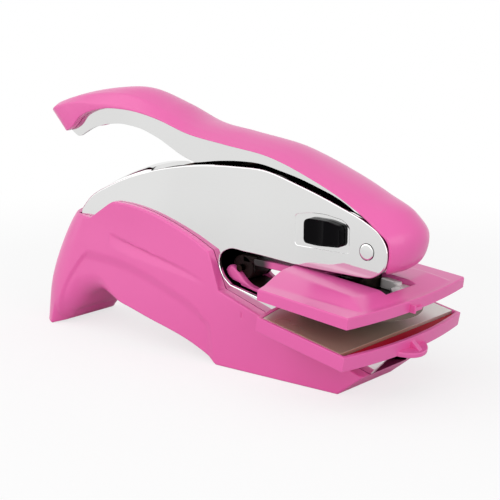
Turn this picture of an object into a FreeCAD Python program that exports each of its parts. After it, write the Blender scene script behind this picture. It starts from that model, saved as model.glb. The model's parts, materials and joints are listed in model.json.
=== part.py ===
import FreeCAD, Part

import math
import os

# Hand-held seal embosser, in millimetres.
# +X points to the die end, +Y to the far side, +Z up, and the table is Z = 0.
# X = 0 lies at mid length, and Y = 0 is the centre plane.

# Overall sizes
overall_height = 94.5
base_length = 159.5
base_height = 0.5513 * overall_height
base_rear_x = -85.1
cap_length = 177.2
cap_rear_x = -89.1
overrun = 30.0
envelope_margin = 0.3

# Press frame: two folded cheeks of sheet steel joined by a crowned bridge
frame_length = 133.4
frame_height = 0.7566 * overall_height
frame_half_width = 11.0
sheet = 1.5
pivot_x = 72.0
pivot_z = 0.5185 * overall_height
bridge_crown = 2.6
bridge_sink = 0.35

# Outlines of the frame: distance behind the pivot and height, as shares
cheek_top_shares = [(1.000, 0.652), (0.966, 0.720), (0.882, 0.808), (0.726, 0.915), (0.577, 0.972),
                    (0.403, 0.999), (0.336, 1.000), (0.206, 0.947), (0.082, 0.876), (0.007, 0.824)]
cheek_nose_shares = [(0.007, 0.824), (-0.036, 0.777), (-0.060, 0.695), (-0.052, 0.620), (-0.040, 0.586)]
ceiling_shares = [(-0.040, 0.586), (-0.017, 0.568), (0.033, 0.559), (0.204, 0.562), (0.386, 0.580),
                  (0.445, 0.582)]
throat_shares = [(0.445, 0.582), (0.475, 0.503), (0.438, 0.400)]
jaw_tip_shares = [(-0.070, 0.213), (-0.021, 0.112), (0.031, 0.095)]
jaw_floor_shares = [(0.031, 0.095), (0.436, 0.095), (0.525, 0.137), (0.690, 0.215), (0.855, 0.287),
                    (0.923, 0.344), (0.987, 0.490), (1.007, 0.573), (1.000, 0.652)]
bridge_shares = [(0.995, 0.662), (0.966, 0.720), (0.930, 0.765), (0.882, 0.808), (0.830, 0.848),
                 (0.785, 0.881)]
bridge_lean_shares = [0.85, 0.78, 0.60, 0.52, 0.45, 0.42]

# Lower jaw line, on which the die tray slides
jaw_slope_deg = 11.3
jaw_rear_x = 13.6
jaw_rear_z = 0.3026 * overall_height

# Base moulding
base_top_half_width = 13.2
base_front_half_width = 16.0
heel_half_width = 19.4
channel_half_width = 11.2
shelf_share = 0.887
heel_level_shares = [0.0, 0.338, 0.614, 0.845, 1.005]
heel_centre_shares = [0.122, 0.122, 0.144, 0.179, 0.232]
heel_flare_shares = [1.0, 0.66, 0.34, 0.10, 0.0]
front_flare_shares = [1.0, 0.72, 0.43, 0.21, 0.0]
base_crest_shares = [(0.268, 1.000), (0.388, 0.967), (0.512, 0.850), (0.571, 0.770)]
base_front_shares = [(0.571, 0.770), (0.606, 0.516), (1.000, 0.148), (0.939, 0.0), (0.609, 0.0)]
base_arch_shares = [(0.609, 0.0), (0.586, 0.038), (0.538, 0.100), (0.399, 0.209), (0.258, 0.303)]
base_hook_shares = [(0.258, 0.303), (0.209, 0.315), (0.174, 0.269), (0.134, 0.134), (0.069, 0.0)]
channel_shares = [(0.138, 0.710), (0.207, 0.461), (0.270, 0.384), (0.408, 0.288), (0.545, 0.180),
                  (0.621, 0.125), (0.959, 0.125), (1.000, 0.142)]
flank_rear_shares = [(0.069, 0.0), (0.093, 0.081), (0.126, 0.370), (0.156, 0.511), (0.189, 0.618)]
flank_top_shares = [(0.189, 0.618), (0.298, 0.607), (0.376, 0.560), (0.451, 0.493), (0.524, 0.415),
                    (0.568, 0.347)]
flank_front_shares = [(0.568, 0.347), (0.592, 0.269), (0.601, 0.138), (0.609, 0.0)]
flank_recess = 0.7
groove_shares = [(0.262, 0.766), (0.401, 0.674), (0.567, 0.560)]
groove_width = 2.2
groove_depth = 0.5

# Handle cap: each station gives its lower edge, its top, its half width and its shoulder, as shares
cap_half_width = 12.0
cap_station_shares = [
    (0.040, 0.856, 0.000, 0.863, 0.66, 0.40, 0.80, 0.80),
    (0.093, 0.817, 0.037, 0.906, 0.88, 0.62, 0.72, 0.88),
    (0.132, 0.826, 0.094, 0.939, 0.98, 0.66, 0.66, 0.92),
    (0.161, 0.872, 0.141, 0.962, 1.00, 0.58, 0.66, 0.90),
    (0.223, 0.913, 0.219, 0.989, 1.00, 0.24, 0.70, 0.76),
    (0.299, 0.921, 0.299, 0.999, 1.00, 0.12, 0.72, 0.66),
    (0.389, 0.897, 0.395, 0.963, 1.00, 0.12, 0.72, 0.66),
    (0.468, 0.857, 0.468, 0.913, 1.00, 0.12, 0.72, 0.66),
    (0.570, 0.832, 0.581, 0.872, 1.00, 0.12, 0.70, 0.66),
    (0.683, 0.806, 0.700, 0.848, 1.00, 0.12, 0.68, 0.66),
    (0.773, 0.754, 0.796, 0.786, 1.00, 0.12, 0.68, 0.66),
    (0.872, 0.674, 0.903, 0.711, 1.00, 0.12, 0.68, 0.66),
    (0.928, 0.607, 0.971, 0.659, 1.00, 0.14, 0.68, 0.66),
    (0.956, 0.561, 0.999, 0.588, 1.00, 0.16, 0.68, 0.68),
    (0.962, 0.513, 0.994, 0.529, 1.00, 0.18, 0.70, 0.70),
    (0.953, 0.452, 0.965, 0.463, 0.92, 0.20, 0.70, 0.72)]

# Handle lever: a steel channel inside the cap
lever_half_width = 9.2
lever_sheet = 1.2
lever_cap_gap = 0.15
lever_rear_shares = [(0.123, 0.811), (0.163, 0.805), (0.210, 0.843), (0.270, 0.859), (0.328, 0.849),
                     (0.385, 0.815), (0.440, 0.767), (0.481, 0.744)]
lever_front_shares = [(0.481, 0.744), (0.581, 0.677), (0.683, 0.577), (0.751, 0.496), (0.796, 0.489),
                      (0.863, 0.461), (0.909, 0.451)]
lever_nose_shares = [(0.909, 0.451), (0.946, 0.468), (0.955, 0.519), (0.945, 0.578), (0.909, 0.617)]
lever_top_shares = [(0.909, 0.617), (0.841, 0.702), (0.756, 0.768), (0.666, 0.812), (0.559, 0.850),
                    (0.446, 0.893), (0.339, 0.938), (0.260, 0.943), (0.186, 0.915), (0.140, 0.850)]
lever_slot_shares = [(0.488, 0.747), (0.546, 0.764), (0.598, 0.772), (0.648, 0.772), (0.697, 0.757),
                     (0.746, 0.738), (0.793, 0.712), (0.828, 0.691), (0.863, 0.660), (0.885, 0.633)]
lever_slot_depth = 3.2

# Pivot and linkage
rivet_radius = 2.2
rivet_head_radius = 3.0
rivet_head_height = 0.4
bush_radius = 3.6
running_gap = 0.05
roller_x = 47.9
roller_z = 0.5365 * overall_height
roller_radius = 3.6
roller_half_width = 5.4
roller_pin_radius = 1.5
arm_pivot_x = 19.9
arm_pivot_z = 0.4677 * overall_height
arm_pin_radius = 1.8
arm_pin_sink = 0.9
arm_half_width = 7.2
arm_depth = 4.6
arm_boss_radius = 4.0
arm_roller_gap = 0.35
foot_x = 61.9
foot_length = 8.0
foot_drop = 5.6
foot_half_width = 6.0
foot_shoe = 1.6

# Lock: a sliding button with a tongue that stops the lever
button_x = 55.1
button_z = 0.5587 * overall_height
button_length = 17.7
button_height = 9.0
button_rise = 2.2
button_corner = 2.2
button_hollow = 0.9
button_face_gap = 0.1
lock_travel = 4.0
recess_rear_x = 42.3
recess_front_x = 65.3
recess_low_z = 0.4952 * overall_height
recess_high_z = 0.6265 * overall_height
recess_depth = 0.4
recess_corner = 2.5
stem_x = 54.9
stem_length = 5.2
stem_low_z = 0.5661 * overall_height
stem_height = 3.0
stem_gap = 0.2
tongue_tip_x = 37.9
tongue_low_z = 0.5778 * overall_height
tongue_height = 1.6
tongue_outer_y = 7.9
tongue_thick = 1.2
finger_x = 32.9
finger_length = 4.6
finger_low_z = 0.5989 * overall_height
finger_thick = 1.4
finger_reach = 2.4
lever_drop_at_window = 3.4
lever_swing_at_window = 1.6

# Die plates
plate_half_width = 35.0
tray_length = 35.9
tray_rear_x = 45.6
tray_thickness = 5.1
tray_slide_gap = 0.1
tray_front_bow = 3.2
tray_rear_bow = 4.0
tray_wall = 1.3
tray_pocket = 1.5
tray_crescent = 3.2
steel_plate_front = 33.4
plate_clearance = 0.15
notch_low_y = -32.0
notch_high_y = -24.0
tab_half_width = 9.0
tab_reach = 6.0
tab_thickness = 1.8
gusset_thickness = 2.2

upper_slope_deg = 5.7
upper_rear_x = 45.8
upper_rim_z = 0.3926 * overall_height
upper_length = 36.2
upper_thickness = 3.9
upper_front_bow = 3.0
upper_rear_bow = 5.0
upper_wall = 2.0
plateau_rise = 2.4
plateau_foot_shares = (0.845, 0.786, 0.953)
plateau_head_shares = (0.526, 0.629, 0.760)
hole_rear_x = 52.9
hole_front_x = 78.4
hole_half_width = 8.75
die_radius = 20.5
die_protrusion = 2.6
die_plate_thickness = 1.0
die_pad_half_width = 6.4
die_pad_length = 9.0
die_pad_top_gap = 0.5
upper_tab_half_width = 4.0
upper_tab_reach = 1.6

# Clip hinge at the throat end
hinge_x = 15.3
hinge_z = 0.363 * overall_height
hinge_radius = 4.6
hinge_pin_radius = 1.25
hinge_half_width = 8.0
hinge_knuckle_half_width = 4.2
hinge_gap = 0.25
clip_arm_thickness = 2.6
lower_arm_half_width = 8.0

# Fasteners and spacers hidden in the base
spacer_radius = 3.5
spacer_front_x = 41.9
spacer_front_z = 0.1312 * overall_height
spacer_rear_x = -28.1
spacer_rear_z = 0.2392 * overall_height
screw_radius = 1.5
screw_head_radius = 3.0
screw_head_height = 1.8
screw_sink = 0.6
counterbore_gap = 0.3
cap_screw_rear_x = -38.1
cap_screw_front_x = 9.9
cap_screw_depth = 1.6
spring_wire_radius = 0.6
spring_leg_radius = 0.45
spring_coil_radius = 4.5
spring_half_width = 3.4
spring_lever_leg = 15.0
spring_nose_leg = 5.0
spring_leg_rise_deg = 158.0


def point(x, z, y=0.0):
    """A point of the model."""
    return FreeCAD.Vector(x, y, z)


def frame_points(shares):
    """Points of the press frame from shares behind the pivot."""
    return [(pivot_x - a * frame_length, b * frame_height) for a, b in shares]


def base_points(shares):
    """Points of the base from shares ahead of its heel."""
    return [(base_rear_x + a * base_length, b * base_height) for a, b in shares]


def handle_points(shares):
    """Points of the handle from shares ahead of its rear end."""
    return [(cap_rear_x + a * cap_length, b * overall_height) for a, b in shares]


def edge_through(points, y):
    """A straight edge through two points, or a smooth one through more."""
    vectors = [point(x, z, y) for x, z in points]
    if len(vectors) == 2:
        return Part.LineSegment(vectors[0], vectors[1]).toShape()
    curve = Part.BSplineCurve()
    curve.interpolate(vectors)
    return curve.toShape()


def straight(points):
    """Split a list of points into straight pieces."""
    return [list(pair) for pair in zip(points[:-1], points[1:])]


def prism(pieces, y_low, y_high):
    """A side outline, made of straight and smooth pieces, drawn out across the model."""
    if pieces[-1][-1] != pieces[0][0]:
        pieces = pieces + [[pieces[-1][-1], pieces[0][0]]]
    edges = [edge_through(piece, y_low) for piece in pieces]
    face = Part.Face(Part.Wire(edges))
    return face.extrude(FreeCAD.Vector(0, y_high - y_low, 0))


def box(x_low, x_high, y_low, y_high, z_low, z_high):
    """A box between limits."""
    corner = FreeCAD.Vector(x_low, y_low, z_low)
    return Part.makeBox(x_high - x_low, y_high - y_low, z_high - z_low, corner)


def rod(x, z, radius, y_low, y_high):
    """A round bar across the model."""
    return Part.makeCylinder(radius, y_high - y_low, FreeCAD.Vector(x, y_low, z), FreeCAD.Vector(0, 1, 0))


def post(x, y, radius, z_low, z_high):
    """An upright round bar."""
    return Part.makeCylinder(radius, z_high - z_low, FreeCAD.Vector(x, y, z_low), FreeCAD.Vector(0, 0, 1))


def tilted(shape, x, z, angle_deg):
    """Turn a shape about a line across the model, front end down."""
    turned = shape.copy()
    turned.rotate(FreeCAD.Vector(x, 0, z), FreeCAD.Vector(0, 1, 0), angle_deg)
    return turned


def one_solid(shape):
    """The clean solid of a boolean result."""
    clean = shape.removeSplitter()
    if len(clean.Solids) == 1:
        return clean.Solids[0]
    return clean


def jaw_line(x):
    """Height of the lower jaw's top edge."""
    return jaw_rear_z - (x - jaw_rear_x) * math.tan(math.radians(jaw_slope_deg))


def bowed_plan(x_rear, length, half_width, front_bow, rear_bow, z):
    """A plate outline with straight sides and bowed ends, as a face."""
    x_front = x_rear + length
    near_rear = FreeCAD.Vector(x_rear, -half_width, z)
    near_front = FreeCAD.Vector(x_front, -half_width, z)
    far_front = FreeCAD.Vector(x_front, half_width, z)
    far_rear = FreeCAD.Vector(x_rear, half_width, z)
    front = Part.Arc(near_front, FreeCAD.Vector(x_front + front_bow, 0, z), far_front)
    rear = Part.Arc(far_rear, FreeCAD.Vector(x_rear - rear_bow, 0, z), near_rear)
    edges = [Part.LineSegment(near_rear, near_front).toShape(), front.toShape(),
             Part.LineSegment(far_front, far_rear).toShape(), rear.toShape()]
    return Part.Face(Part.Wire(edges))


# Base

def heel_section(level):
    """A level outline of the base: round heel, slightly tapering sides and a square front."""
    z = heel_level_shares[level] * base_height
    centre = base_rear_x + heel_centre_shares[level] * base_length
    heel = base_top_half_width + heel_flare_shares[level] * (heel_half_width - base_top_half_width)
    front = base_top_half_width + front_flare_shares[level] * (base_front_half_width - base_top_half_width)
    x_front = base_rear_x + base_length + envelope_margin
    arc = Part.Arc(point(centre, z, -heel), point(centre - heel, z), point(centre, z, heel))
    corners = [point(centre, z, heel), point(x_front, z, front), point(x_front, z, -front),
               point(centre, z, -heel)]
    edges = [arc.toShape()] + [Part.LineSegment(a, b).toShape() for a, b in zip(corners[:-1], corners[1:])]
    return Part.Wire(edges)


def base_side(y_low, y_high):
    """The base's side outline drawn out across the model."""
    shelf = base_height * shelf_share
    rear = base_rear_x - overrun
    start = base_points([(0.192, 0.856)])[0]
    crest = base_points(base_crest_shares)
    front = base_points(base_front_shares)
    arch = base_points(base_arch_shares)
    hook = base_points(base_hook_shares)
    pieces = [[(rear, 0), (rear, shelf)], [(rear, shelf), start], [start, crest[0]], crest]
    pieces = pieces + straight(front) + [arch, hook]
    return prism(pieces, y_low, y_high)


def base_channel():
    """The slot in the base that takes the press frame, open at the top and at the front."""
    floor = base_points(channel_shares)
    top = base_height + overrun
    front = base_rear_x + base_length + overrun
    pieces = [[(floor[0][0], top), floor[0]]] + straight(floor)
    pieces = pieces + [[floor[-1], (front, floor[-1][1])], [(front, floor[-1][1]), (front, top)]]
    return prism(pieces, -channel_half_width, channel_half_width)


def screw_hole(x, underside_z, top_z):
    """The stepped hole of a base screw, from below."""
    head_top = underside_z + screw_head_height + screw_sink
    head = post(x, 0, screw_head_radius + counterbore_gap, underside_z - overrun, head_top)
    return head.fuse(post(x, 0, screw_radius, underside_z, top_z))


def narrowed(envelope, depth):
    """The envelope drawn in across the model, so that what lies outside it is about so deep."""
    squeeze = FreeCAD.Matrix()
    squeeze.scale(1, (base_top_half_width - depth) / base_top_half_width, 1)
    return envelope.transformGeometry(squeeze)


def letter_groove(width):
    """The tapering groove below the side panels' upper zone."""
    upper = base_points(groove_shares)
    middle = upper[1]
    lower = [upper[-1], (middle[0], middle[1] - groove_width), upper[0]]
    return prism([upper, lower], -width, width)


def base_shell():
    """The moulded base: round heel, arch, side panels and a foot block in front."""
    width = heel_half_width + overrun
    levels = [heel_section(level) for level in range(len(heel_level_shares))]
    envelope = Part.makeLoft(levels, True, True)
    body = base_side(-width, width).common(envelope)
    outline = [base_points(flank_rear_shares), base_points(flank_top_shares),
               base_points(flank_front_shares)]
    flank = prism(outline, -width, width)
    body = body.cut(flank.cut(narrowed(envelope, flank_recess)))
    body = body.cut(letter_groove(width).cut(narrowed(envelope, groove_depth)))
    body = body.cut(base_channel())
    body = body.cut(screw_hole(spacer_front_x, 0, overrun))
    body = body.cut(screw_hole(spacer_rear_x, rear_underside(), overrun))
    return one_solid(body)


def rear_underside():
    """Height of the arch below the rear spacer."""
    arch = base_points(base_arch_shares)
    (x_a, z_a), (x_b, z_b) = arch[3], arch[4]
    return z_a + (z_b - z_a) * (spacer_rear_x - x_a) / (x_b - x_a)


# Press frame

def cheek(y_low, y_high):
    """One cheek of the frame, with the throat between its jaws."""
    nose = frame_points(cheek_nose_shares)
    ceiling = frame_points(ceiling_shares)
    throat = frame_points(throat_shares)
    tip = frame_points(jaw_tip_shares)
    floor = frame_points(jaw_floor_shares)
    jaw_start = (throat[-1][0], jaw_line(throat[-1][0]))
    jaw_end = (tip[0][0], jaw_line(tip[0][0]))
    throat[-1] = jaw_start
    pieces = [frame_points(cheek_top_shares), nose, ceiling, throat, [jaw_start, jaw_end]]
    pieces = pieces + [[jaw_end, tip[1]], [tip[1], tip[2]]] + straight(floor)
    return prism(pieces, y_low, y_high)


def bridge_section(station):
    """A cross-section of the crowned bridge between the cheeks, leaning with the cheek's edge."""
    x, z = frame_points([bridge_shares[station]])[0]
    z = z - bridge_sink
    half = frame_half_width - sheet * bridge_lean_shares[0] / 2
    lean = bridge_lean_shares[station]
    slope = math.hypot(1, lean)
    out_x = -lean / slope
    out_z = 1 / slope
    rise = bridge_crown + bridge_sink
    outer = [point(x, z, -half), point(x + out_x * rise, z + out_z * rise), point(x, z, half)]
    x_in = x - out_x * sheet
    z_in = z - out_z * sheet
    inner = [point(x_in, z_in, half), point(x_in + out_x * rise, z_in + out_z * rise),
             point(x_in, z_in, -half)]
    edges = [Part.Arc(outer[0], outer[1], outer[2]).toShape(),
             Part.LineSegment(outer[2], inner[0]).toShape(),
             Part.Arc(inner[0], inner[1], inner[2]).toShape(),
             Part.LineSegment(inner[2], outer[0]).toShape()]
    return Part.Wire(edges)


def lock_slot(travel):
    """The slot in which the lock's stem slides."""
    return (stem_x - stem_length / 2 - travel - stem_gap, stem_x + stem_length / 2 + stem_gap,
            stem_low_z - stem_gap, stem_low_z + stem_height + stem_gap)


def press_frame():
    """The steel frame: two cheeks, a crowned bridge at the rear, bores, the lock's slot and its recess."""
    half = frame_half_width
    cheeks = cheek(-half, -half + sheet).fuse(cheek(half - sheet, half))
    bridge = Part.makeLoft([bridge_section(i) for i in range(len(bridge_shares))], True, False)
    body = cheeks.fuse(bridge)
    body = body.cut(rod(pivot_x, pivot_z, rivet_radius, -overrun, overrun))
    inner = half - sheet
    blind = inner + arm_pin_sink
    body = body.cut(rod(arm_pivot_x, arm_pivot_z, arm_pin_radius, -blind, blind))
    for x, z in ((spacer_front_x, spacer_front_z), (spacer_rear_x, spacer_rear_z)):
        body = body.cut(rod(x, z, spacer_radius - sheet, -overrun, overrun))
    slot = lock_slot(lock_travel)
    body = body.cut(box(slot[0], slot[1], -overrun, 0, slot[2], slot[3]))
    recess = box(recess_rear_x, recess_front_x, -half - overrun, -half + recess_depth,
                 recess_low_z, recess_high_z)
    upright = [edge for edge in recess.Edges if abs(edge.BoundBox.YLength) > overrun]
    body = body.cut(recess.makeFillet(recess_corner, upright))
    return one_solid(body)


def spacer(x, z):
    """A shouldered spacer between the cheeks, tapped from below for a base screw."""
    inner = frame_half_width - sheet
    body = rod(x, z, spacer_radius, -inner, inner)
    body = body.fuse(rod(x, z, spacer_radius - sheet, -frame_half_width, frame_half_width))
    return one_solid(body.cut(post(x, 0, screw_radius, z - overrun, z)))


def base_screw(x, underside_z, z_end):
    """A base screw with a flat head, seated in its counterbore."""
    head_low = underside_z + screw_sink
    head_high = head_low + screw_head_height
    head = post(x, 0, screw_head_radius, head_low, head_high)
    return one_solid(head.fuse(post(x, 0, screw_radius, head_low, z_end)))


def pivot_rivet():
    """The rivet in the nose on which the handle turns."""
    half = frame_half_width
    body = rod(pivot_x, pivot_z, rivet_radius, -half - rivet_head_height, half + rivet_head_height)
    for y in (-half - rivet_head_height, half):
        body = body.fuse(rod(pivot_x, pivot_z, rivet_head_radius, y, y + rivet_head_height))
    return one_solid(body)


def arm_pin():
    """The pin of the press arm, blind in both cheeks."""
    reach = frame_half_width - sheet + arm_pin_sink
    return rod(arm_pivot_x, arm_pivot_z, arm_pin_radius, -reach, reach)


def return_spring():
    """The torsion spring round the nose bush, with one leg along the lever and one down the nose."""
    outer = spring_coil_radius + spring_wire_radius
    inner = spring_coil_radius - spring_wire_radius
    body = rod(pivot_x, pivot_z, outer, -spring_half_width, spring_half_width)
    body = body.cut(rod(pivot_x, pivot_z, inner, -overrun, overrun))
    y = spring_half_width - spring_wire_radius
    rise = math.radians(spring_leg_rise_deg)
    start = FreeCAD.Vector(pivot_x, -y, pivot_z + spring_coil_radius)
    direction = FreeCAD.Vector(math.cos(rise), 0, math.sin(rise))
    body = body.fuse(Part.makeCylinder(spring_leg_radius, spring_lever_leg, start, direction))
    nose_leg = post(pivot_x + spring_coil_radius, y, spring_leg_radius, pivot_z - spring_nose_leg, pivot_z)
    body = body.fuse(nose_leg)
    return one_solid(body)


# Handle

def cap_section(station):
    """A cross-section of the cap between its lower edge and its top line."""
    a, b, c, d, width, side, inset, shoulder = cap_station_shares[station]
    (x_low, z_low), (x_top, z_top) = handle_points([(a, b), (c, d)])
    half = cap_half_width * width

    def at(y, share):
        return point(x_low + share * (x_top - x_low), z_low + share * (z_top - z_low), y)

    corners = [at(-half * inset, shoulder), at(-half, side), at(-half, 0), at(half, 0), at(half, side),
               at(half * inset, shoulder)]
    crown = Part.Arc(corners[-1], at(0, 1), corners[0])
    edges = [Part.LineSegment(p, q).toShape() for p, q in zip(corners[:-1], corners[1:])]
    return Part.Wire(edges + [crown.toShape()])


def lever_outline(inset):
    """The lever's side outline, drawn in along its top and nose by the inset."""
    rear = handle_points(lever_rear_shares)
    front = handle_points(lever_front_shares)
    nose = [(x - inset, z) for x, z in handle_points(lever_nose_shares)]
    top = [(x, z - inset) for x, z in handle_points(lever_top_shares)]
    if inset > 0:
        rear = [(x, z - inset) for x, z in rear]
        front = [(x, z - inset) for x, z in front]
    nose[0] = front[-1]
    nose[-1] = top[0]
    return [rear, front, nose, top]


def handle_cap():
    """The moulded cap that covers the lever and wraps round the nose."""
    sections = [cap_section(i) for i in range(len(cap_station_shares))]
    body = Part.makeLoft(sections, True, False)
    half = lever_half_width + lever_cap_gap
    nose = [(x + lever_cap_gap, z) for x, z in handle_points(lever_nose_shares)]
    top = [(x, z + lever_cap_gap) for x, z in handle_points(lever_top_shares)]
    nose[-1] = top[0]
    rear_x, rear_z = handle_points(lever_rear_shares)[0]
    rear_end = (rear_x - lever_cap_gap, rear_z)
    rear_low = (rear_end[0], rear_z - overrun)
    nose_low = (nose[0][0], rear_low[1])
    pieces = [nose, top, [top[-1], rear_end], [rear_end, rear_low], [rear_low, nose_low],
              [nose_low, nose[0]]]
    body = body.cut(prism(pieces, -half, half))
    for x in (cap_screw_rear_x, cap_screw_front_x):
        web = lever_top_z(x)
        body = body.cut(post(x, 0, screw_radius, web - cap_screw_depth, web + cap_screw_depth))
    return one_solid(body)


def lever_top_z(x):
    """Height of the lever's top at a place along it."""
    points = sorted(handle_points(lever_top_shares))
    for (x_a, z_a), (x_b, z_b) in zip(points[:-1], points[1:]):
        if x_a <= x <= x_b:
            return z_a + (z_b - z_a) * (x - x_a) / (x_b - x_a)
    return points[-1][1]


def handle_lever():
    """The steel channel of the handle, with the roller's bores and the lock's window and finger."""
    half = lever_half_width
    body = prism(lever_outline(0), -half, half)
    hollow = prism(lever_outline(lever_sheet), -half + lever_sheet, half - lever_sheet)
    below = hollow.copy()
    below.translate(FreeCAD.Vector(0, 0, -lever_sheet))
    body = body.cut(hollow).cut(below)
    body = body.cut(rod(pivot_x, pivot_z, bush_radius, -overrun, overrun))
    body = body.cut(rod(roller_x, roller_z, roller_pin_radius, -overrun, overrun))
    slot = lock_slot(lock_travel)
    window = box(slot[0] - stem_gap, slot[1] + lever_swing_at_window, -overrun, 0,
                 slot[2], slot[3] + lever_drop_at_window)
    body = body.cut(window)
    rim = handle_points(lever_slot_shares)
    lower = [(x, z - lever_slot_depth) for x, z in reversed(rim)]
    long_slot = prism([rim, [rim[-1], lower[0]], lower, [lower[-1], rim[0]]], -overrun, overrun)
    body = body.cut(long_slot)
    inner = half - lever_sheet
    finger = box(finger_x, finger_x + finger_length, -inner - lever_sheet / 2, -inner + finger_reach,
                 finger_low_z, finger_low_z + finger_thick)
    body = body.fuse(finger)
    for x in (cap_screw_rear_x, cap_screw_front_x):
        body = body.cut(post(x, 0, screw_radius, lever_top_z(x) - overrun, lever_top_z(x) + overrun))
    return one_solid(body)


def pivot_bush():
    """The sleeve between the lever's flanges that runs on the rivet."""
    body = rod(pivot_x, pivot_z, bush_radius, -lever_half_width, lever_half_width)
    return body.cut(rod(pivot_x, pivot_z, rivet_radius + running_gap, -overrun, overrun))


def roller_pin():
    """The roller's axle, flush in the lever's flanges."""
    return rod(roller_x, roller_z, roller_pin_radius, -lever_half_width, lever_half_width)


def press_roller():
    """The roller that presses the arm."""
    body = rod(roller_x, roller_z, roller_radius, -roller_half_width, roller_half_width)
    return body.cut(rod(roller_x, roller_z, roller_pin_radius, -overrun, overrun))


def cap_screw(x):
    """A screw that holds the cap on the lever, from inside the channel."""
    web = lever_top_z(x) - lever_sheet
    head = post(x, 0, screw_head_radius, web - screw_head_height - screw_sink, web - screw_sink)
    shank = post(x, 0, screw_radius, web - screw_sink, lever_top_z(x) + cap_screw_depth)
    return one_solid(head.fuse(shank))


# Press arm

def press_arm():
    """The rocker under the roller, from its pin behind the throat to the foot in front."""
    top = roller_z - roller_radius - arm_roller_gap
    low = top - arm_depth
    front = foot_x + foot_length / 2
    pieces = straight([(arm_pivot_x, top), (front, top), (front, low), (arm_pivot_x, low)])
    body = prism(pieces, -arm_half_width, arm_half_width)
    boss_radius = arm_boss_radius - arm_roller_gap
    body = body.fuse(rod(arm_pivot_x, arm_pivot_z, boss_radius, -arm_half_width, arm_half_width))
    bore = rod(arm_pivot_x, arm_pivot_z, arm_pin_radius + running_gap, -overrun, overrun)
    return one_solid(body.cut(bore))


def arm_low_z():
    """Height of the press arm's lower face."""
    return roller_z - roller_radius - arm_roller_gap - arm_depth


def foot_low_z():
    """Height of the press foot's lower face."""
    return arm_low_z() - foot_drop + foot_shoe


def press_foot():
    """The shoe below the arm's front end."""
    low = foot_low_z()
    half = foot_length / 2
    pieces = straight([(foot_x - half, arm_low_z()), (foot_x + half, arm_low_z()),
                       (foot_x + half - foot_shoe / 2, low), (foot_x - half + foot_shoe / 2, low)])
    return prism(pieces, -foot_half_width, foot_half_width)


# Lock

def lock_button():
    """The thumb button with two finger hollows and a ridge between them."""
    outer = -frame_half_width - button_face_gap
    body = box(button_x - button_length / 2, button_x + button_length / 2, outer - button_rise, outer,
               button_z - button_height / 2, button_z + button_height / 2)
    upright = [edge for edge in body.Edges if abs(edge.BoundBox.YLength) > button_rise / 2]
    body = body.makeFillet(button_corner, upright)
    quarter = button_length / 4
    radius = (quarter * quarter + button_hollow * button_hollow) / button_hollow / 4
    for side in (-1, 1):
        x = button_x + side * quarter
        y = outer - button_rise - radius + button_hollow
        body = body.cut(post(x, y, radius, button_z - overrun, button_z + overrun))
    body = body.cut(stem(outer - button_rise / 2))
    return one_solid(body)


def stem(y_outer):
    """The stem that joins the button to the tongue through the cheek."""
    return box(stem_x - stem_length / 2, stem_x + stem_length / 2, y_outer, -tongue_outer_y,
               stem_low_z, stem_low_z + stem_height)


def lock_latch():
    """The steel latch: stem and tongue, with the tongue reaching back under the lever's finger."""
    outer = -frame_half_width - button_face_gap - button_rise / 2
    tongue = box(tongue_tip_x, stem_x + stem_length / 2, -tongue_outer_y, -tongue_outer_y + tongue_thick,
                 tongue_low_z, tongue_low_z + tongue_height)
    return one_solid(stem(outer).fuse(tongue))


# Clip with the die plates

def tray_rim_z():
    """Height of the tray's rim at its rear side corner."""
    lift = (tray_slide_gap + tray_thickness) / math.cos(math.radians(jaw_slope_deg))
    return jaw_line(tray_rear_x) + lift


def on_tray(shape):
    """Lay a shape, drawn flat below the rim's height, along the lower jaw."""
    return tilted(shape, tray_rear_x, tray_rim_z(), jaw_slope_deg)


def die_tray():
    """The lower half of the clip: tray, thumb tab with its gusset, arm and hinge knuckle."""
    rim = tray_rim_z()
    low = rim - tray_thickness
    plan = bowed_plan(tray_rear_x, tray_length, plate_half_width, tray_front_bow, tray_rear_bow, low)
    body = plan.extrude(FreeCAD.Vector(0, 0, tray_thickness))
    inner = bowed_plan(tray_rear_x + tray_wall, tray_length - 2 * tray_wall, plate_half_width - tray_wall,
                       tray_front_bow, tray_rear_bow, rim - tray_crescent)
    pocket = inner.extrude(FreeCAD.Vector(0, 0, tray_thickness))
    front = tray_rear_x + tray_wall + steel_plate_front - tray_wall
    seat = box(tray_rear_x - tray_rear_bow, front, -plate_half_width, plate_half_width,
               low, rim - tray_pocket)
    body = body.cut(pocket.cut(seat))
    body = body.cut(box(tray_rear_x - tray_wall, tray_rear_x + tray_wall, notch_low_y, notch_high_y,
                        rim - tray_pocket, rim + overrun))
    tab_x = tray_rear_x + tray_length + tray_front_bow + tab_reach - tab_half_width
    tab = post(tab_x, 0, tab_half_width, low, low + tab_thickness)
    ahead = box(tray_rear_x + tray_length, tab_x + tab_half_width, -plate_half_width, plate_half_width,
                low, rim)
    tab = tab.common(ahead)
    front_face = tray_rear_x + tray_length + tray_front_bow - tray_wall
    gusset = prism(straight([(front_face, low), (tab_x + tab_half_width - tray_wall, low),
                             (tab_x + tab_half_width - tray_wall, low + tab_thickness), (front_face, rim)]),
                   -gusset_thickness / 2, gusset_thickness / 2)
    body = body.fuse(tab).fuse(gusset)
    body = on_tray(body)
    body = body.fuse(lower_arm()).cut(rod(hinge_x, hinge_z, hinge_pin_radius, -overrun, overrun))
    return one_solid(body)


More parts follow.
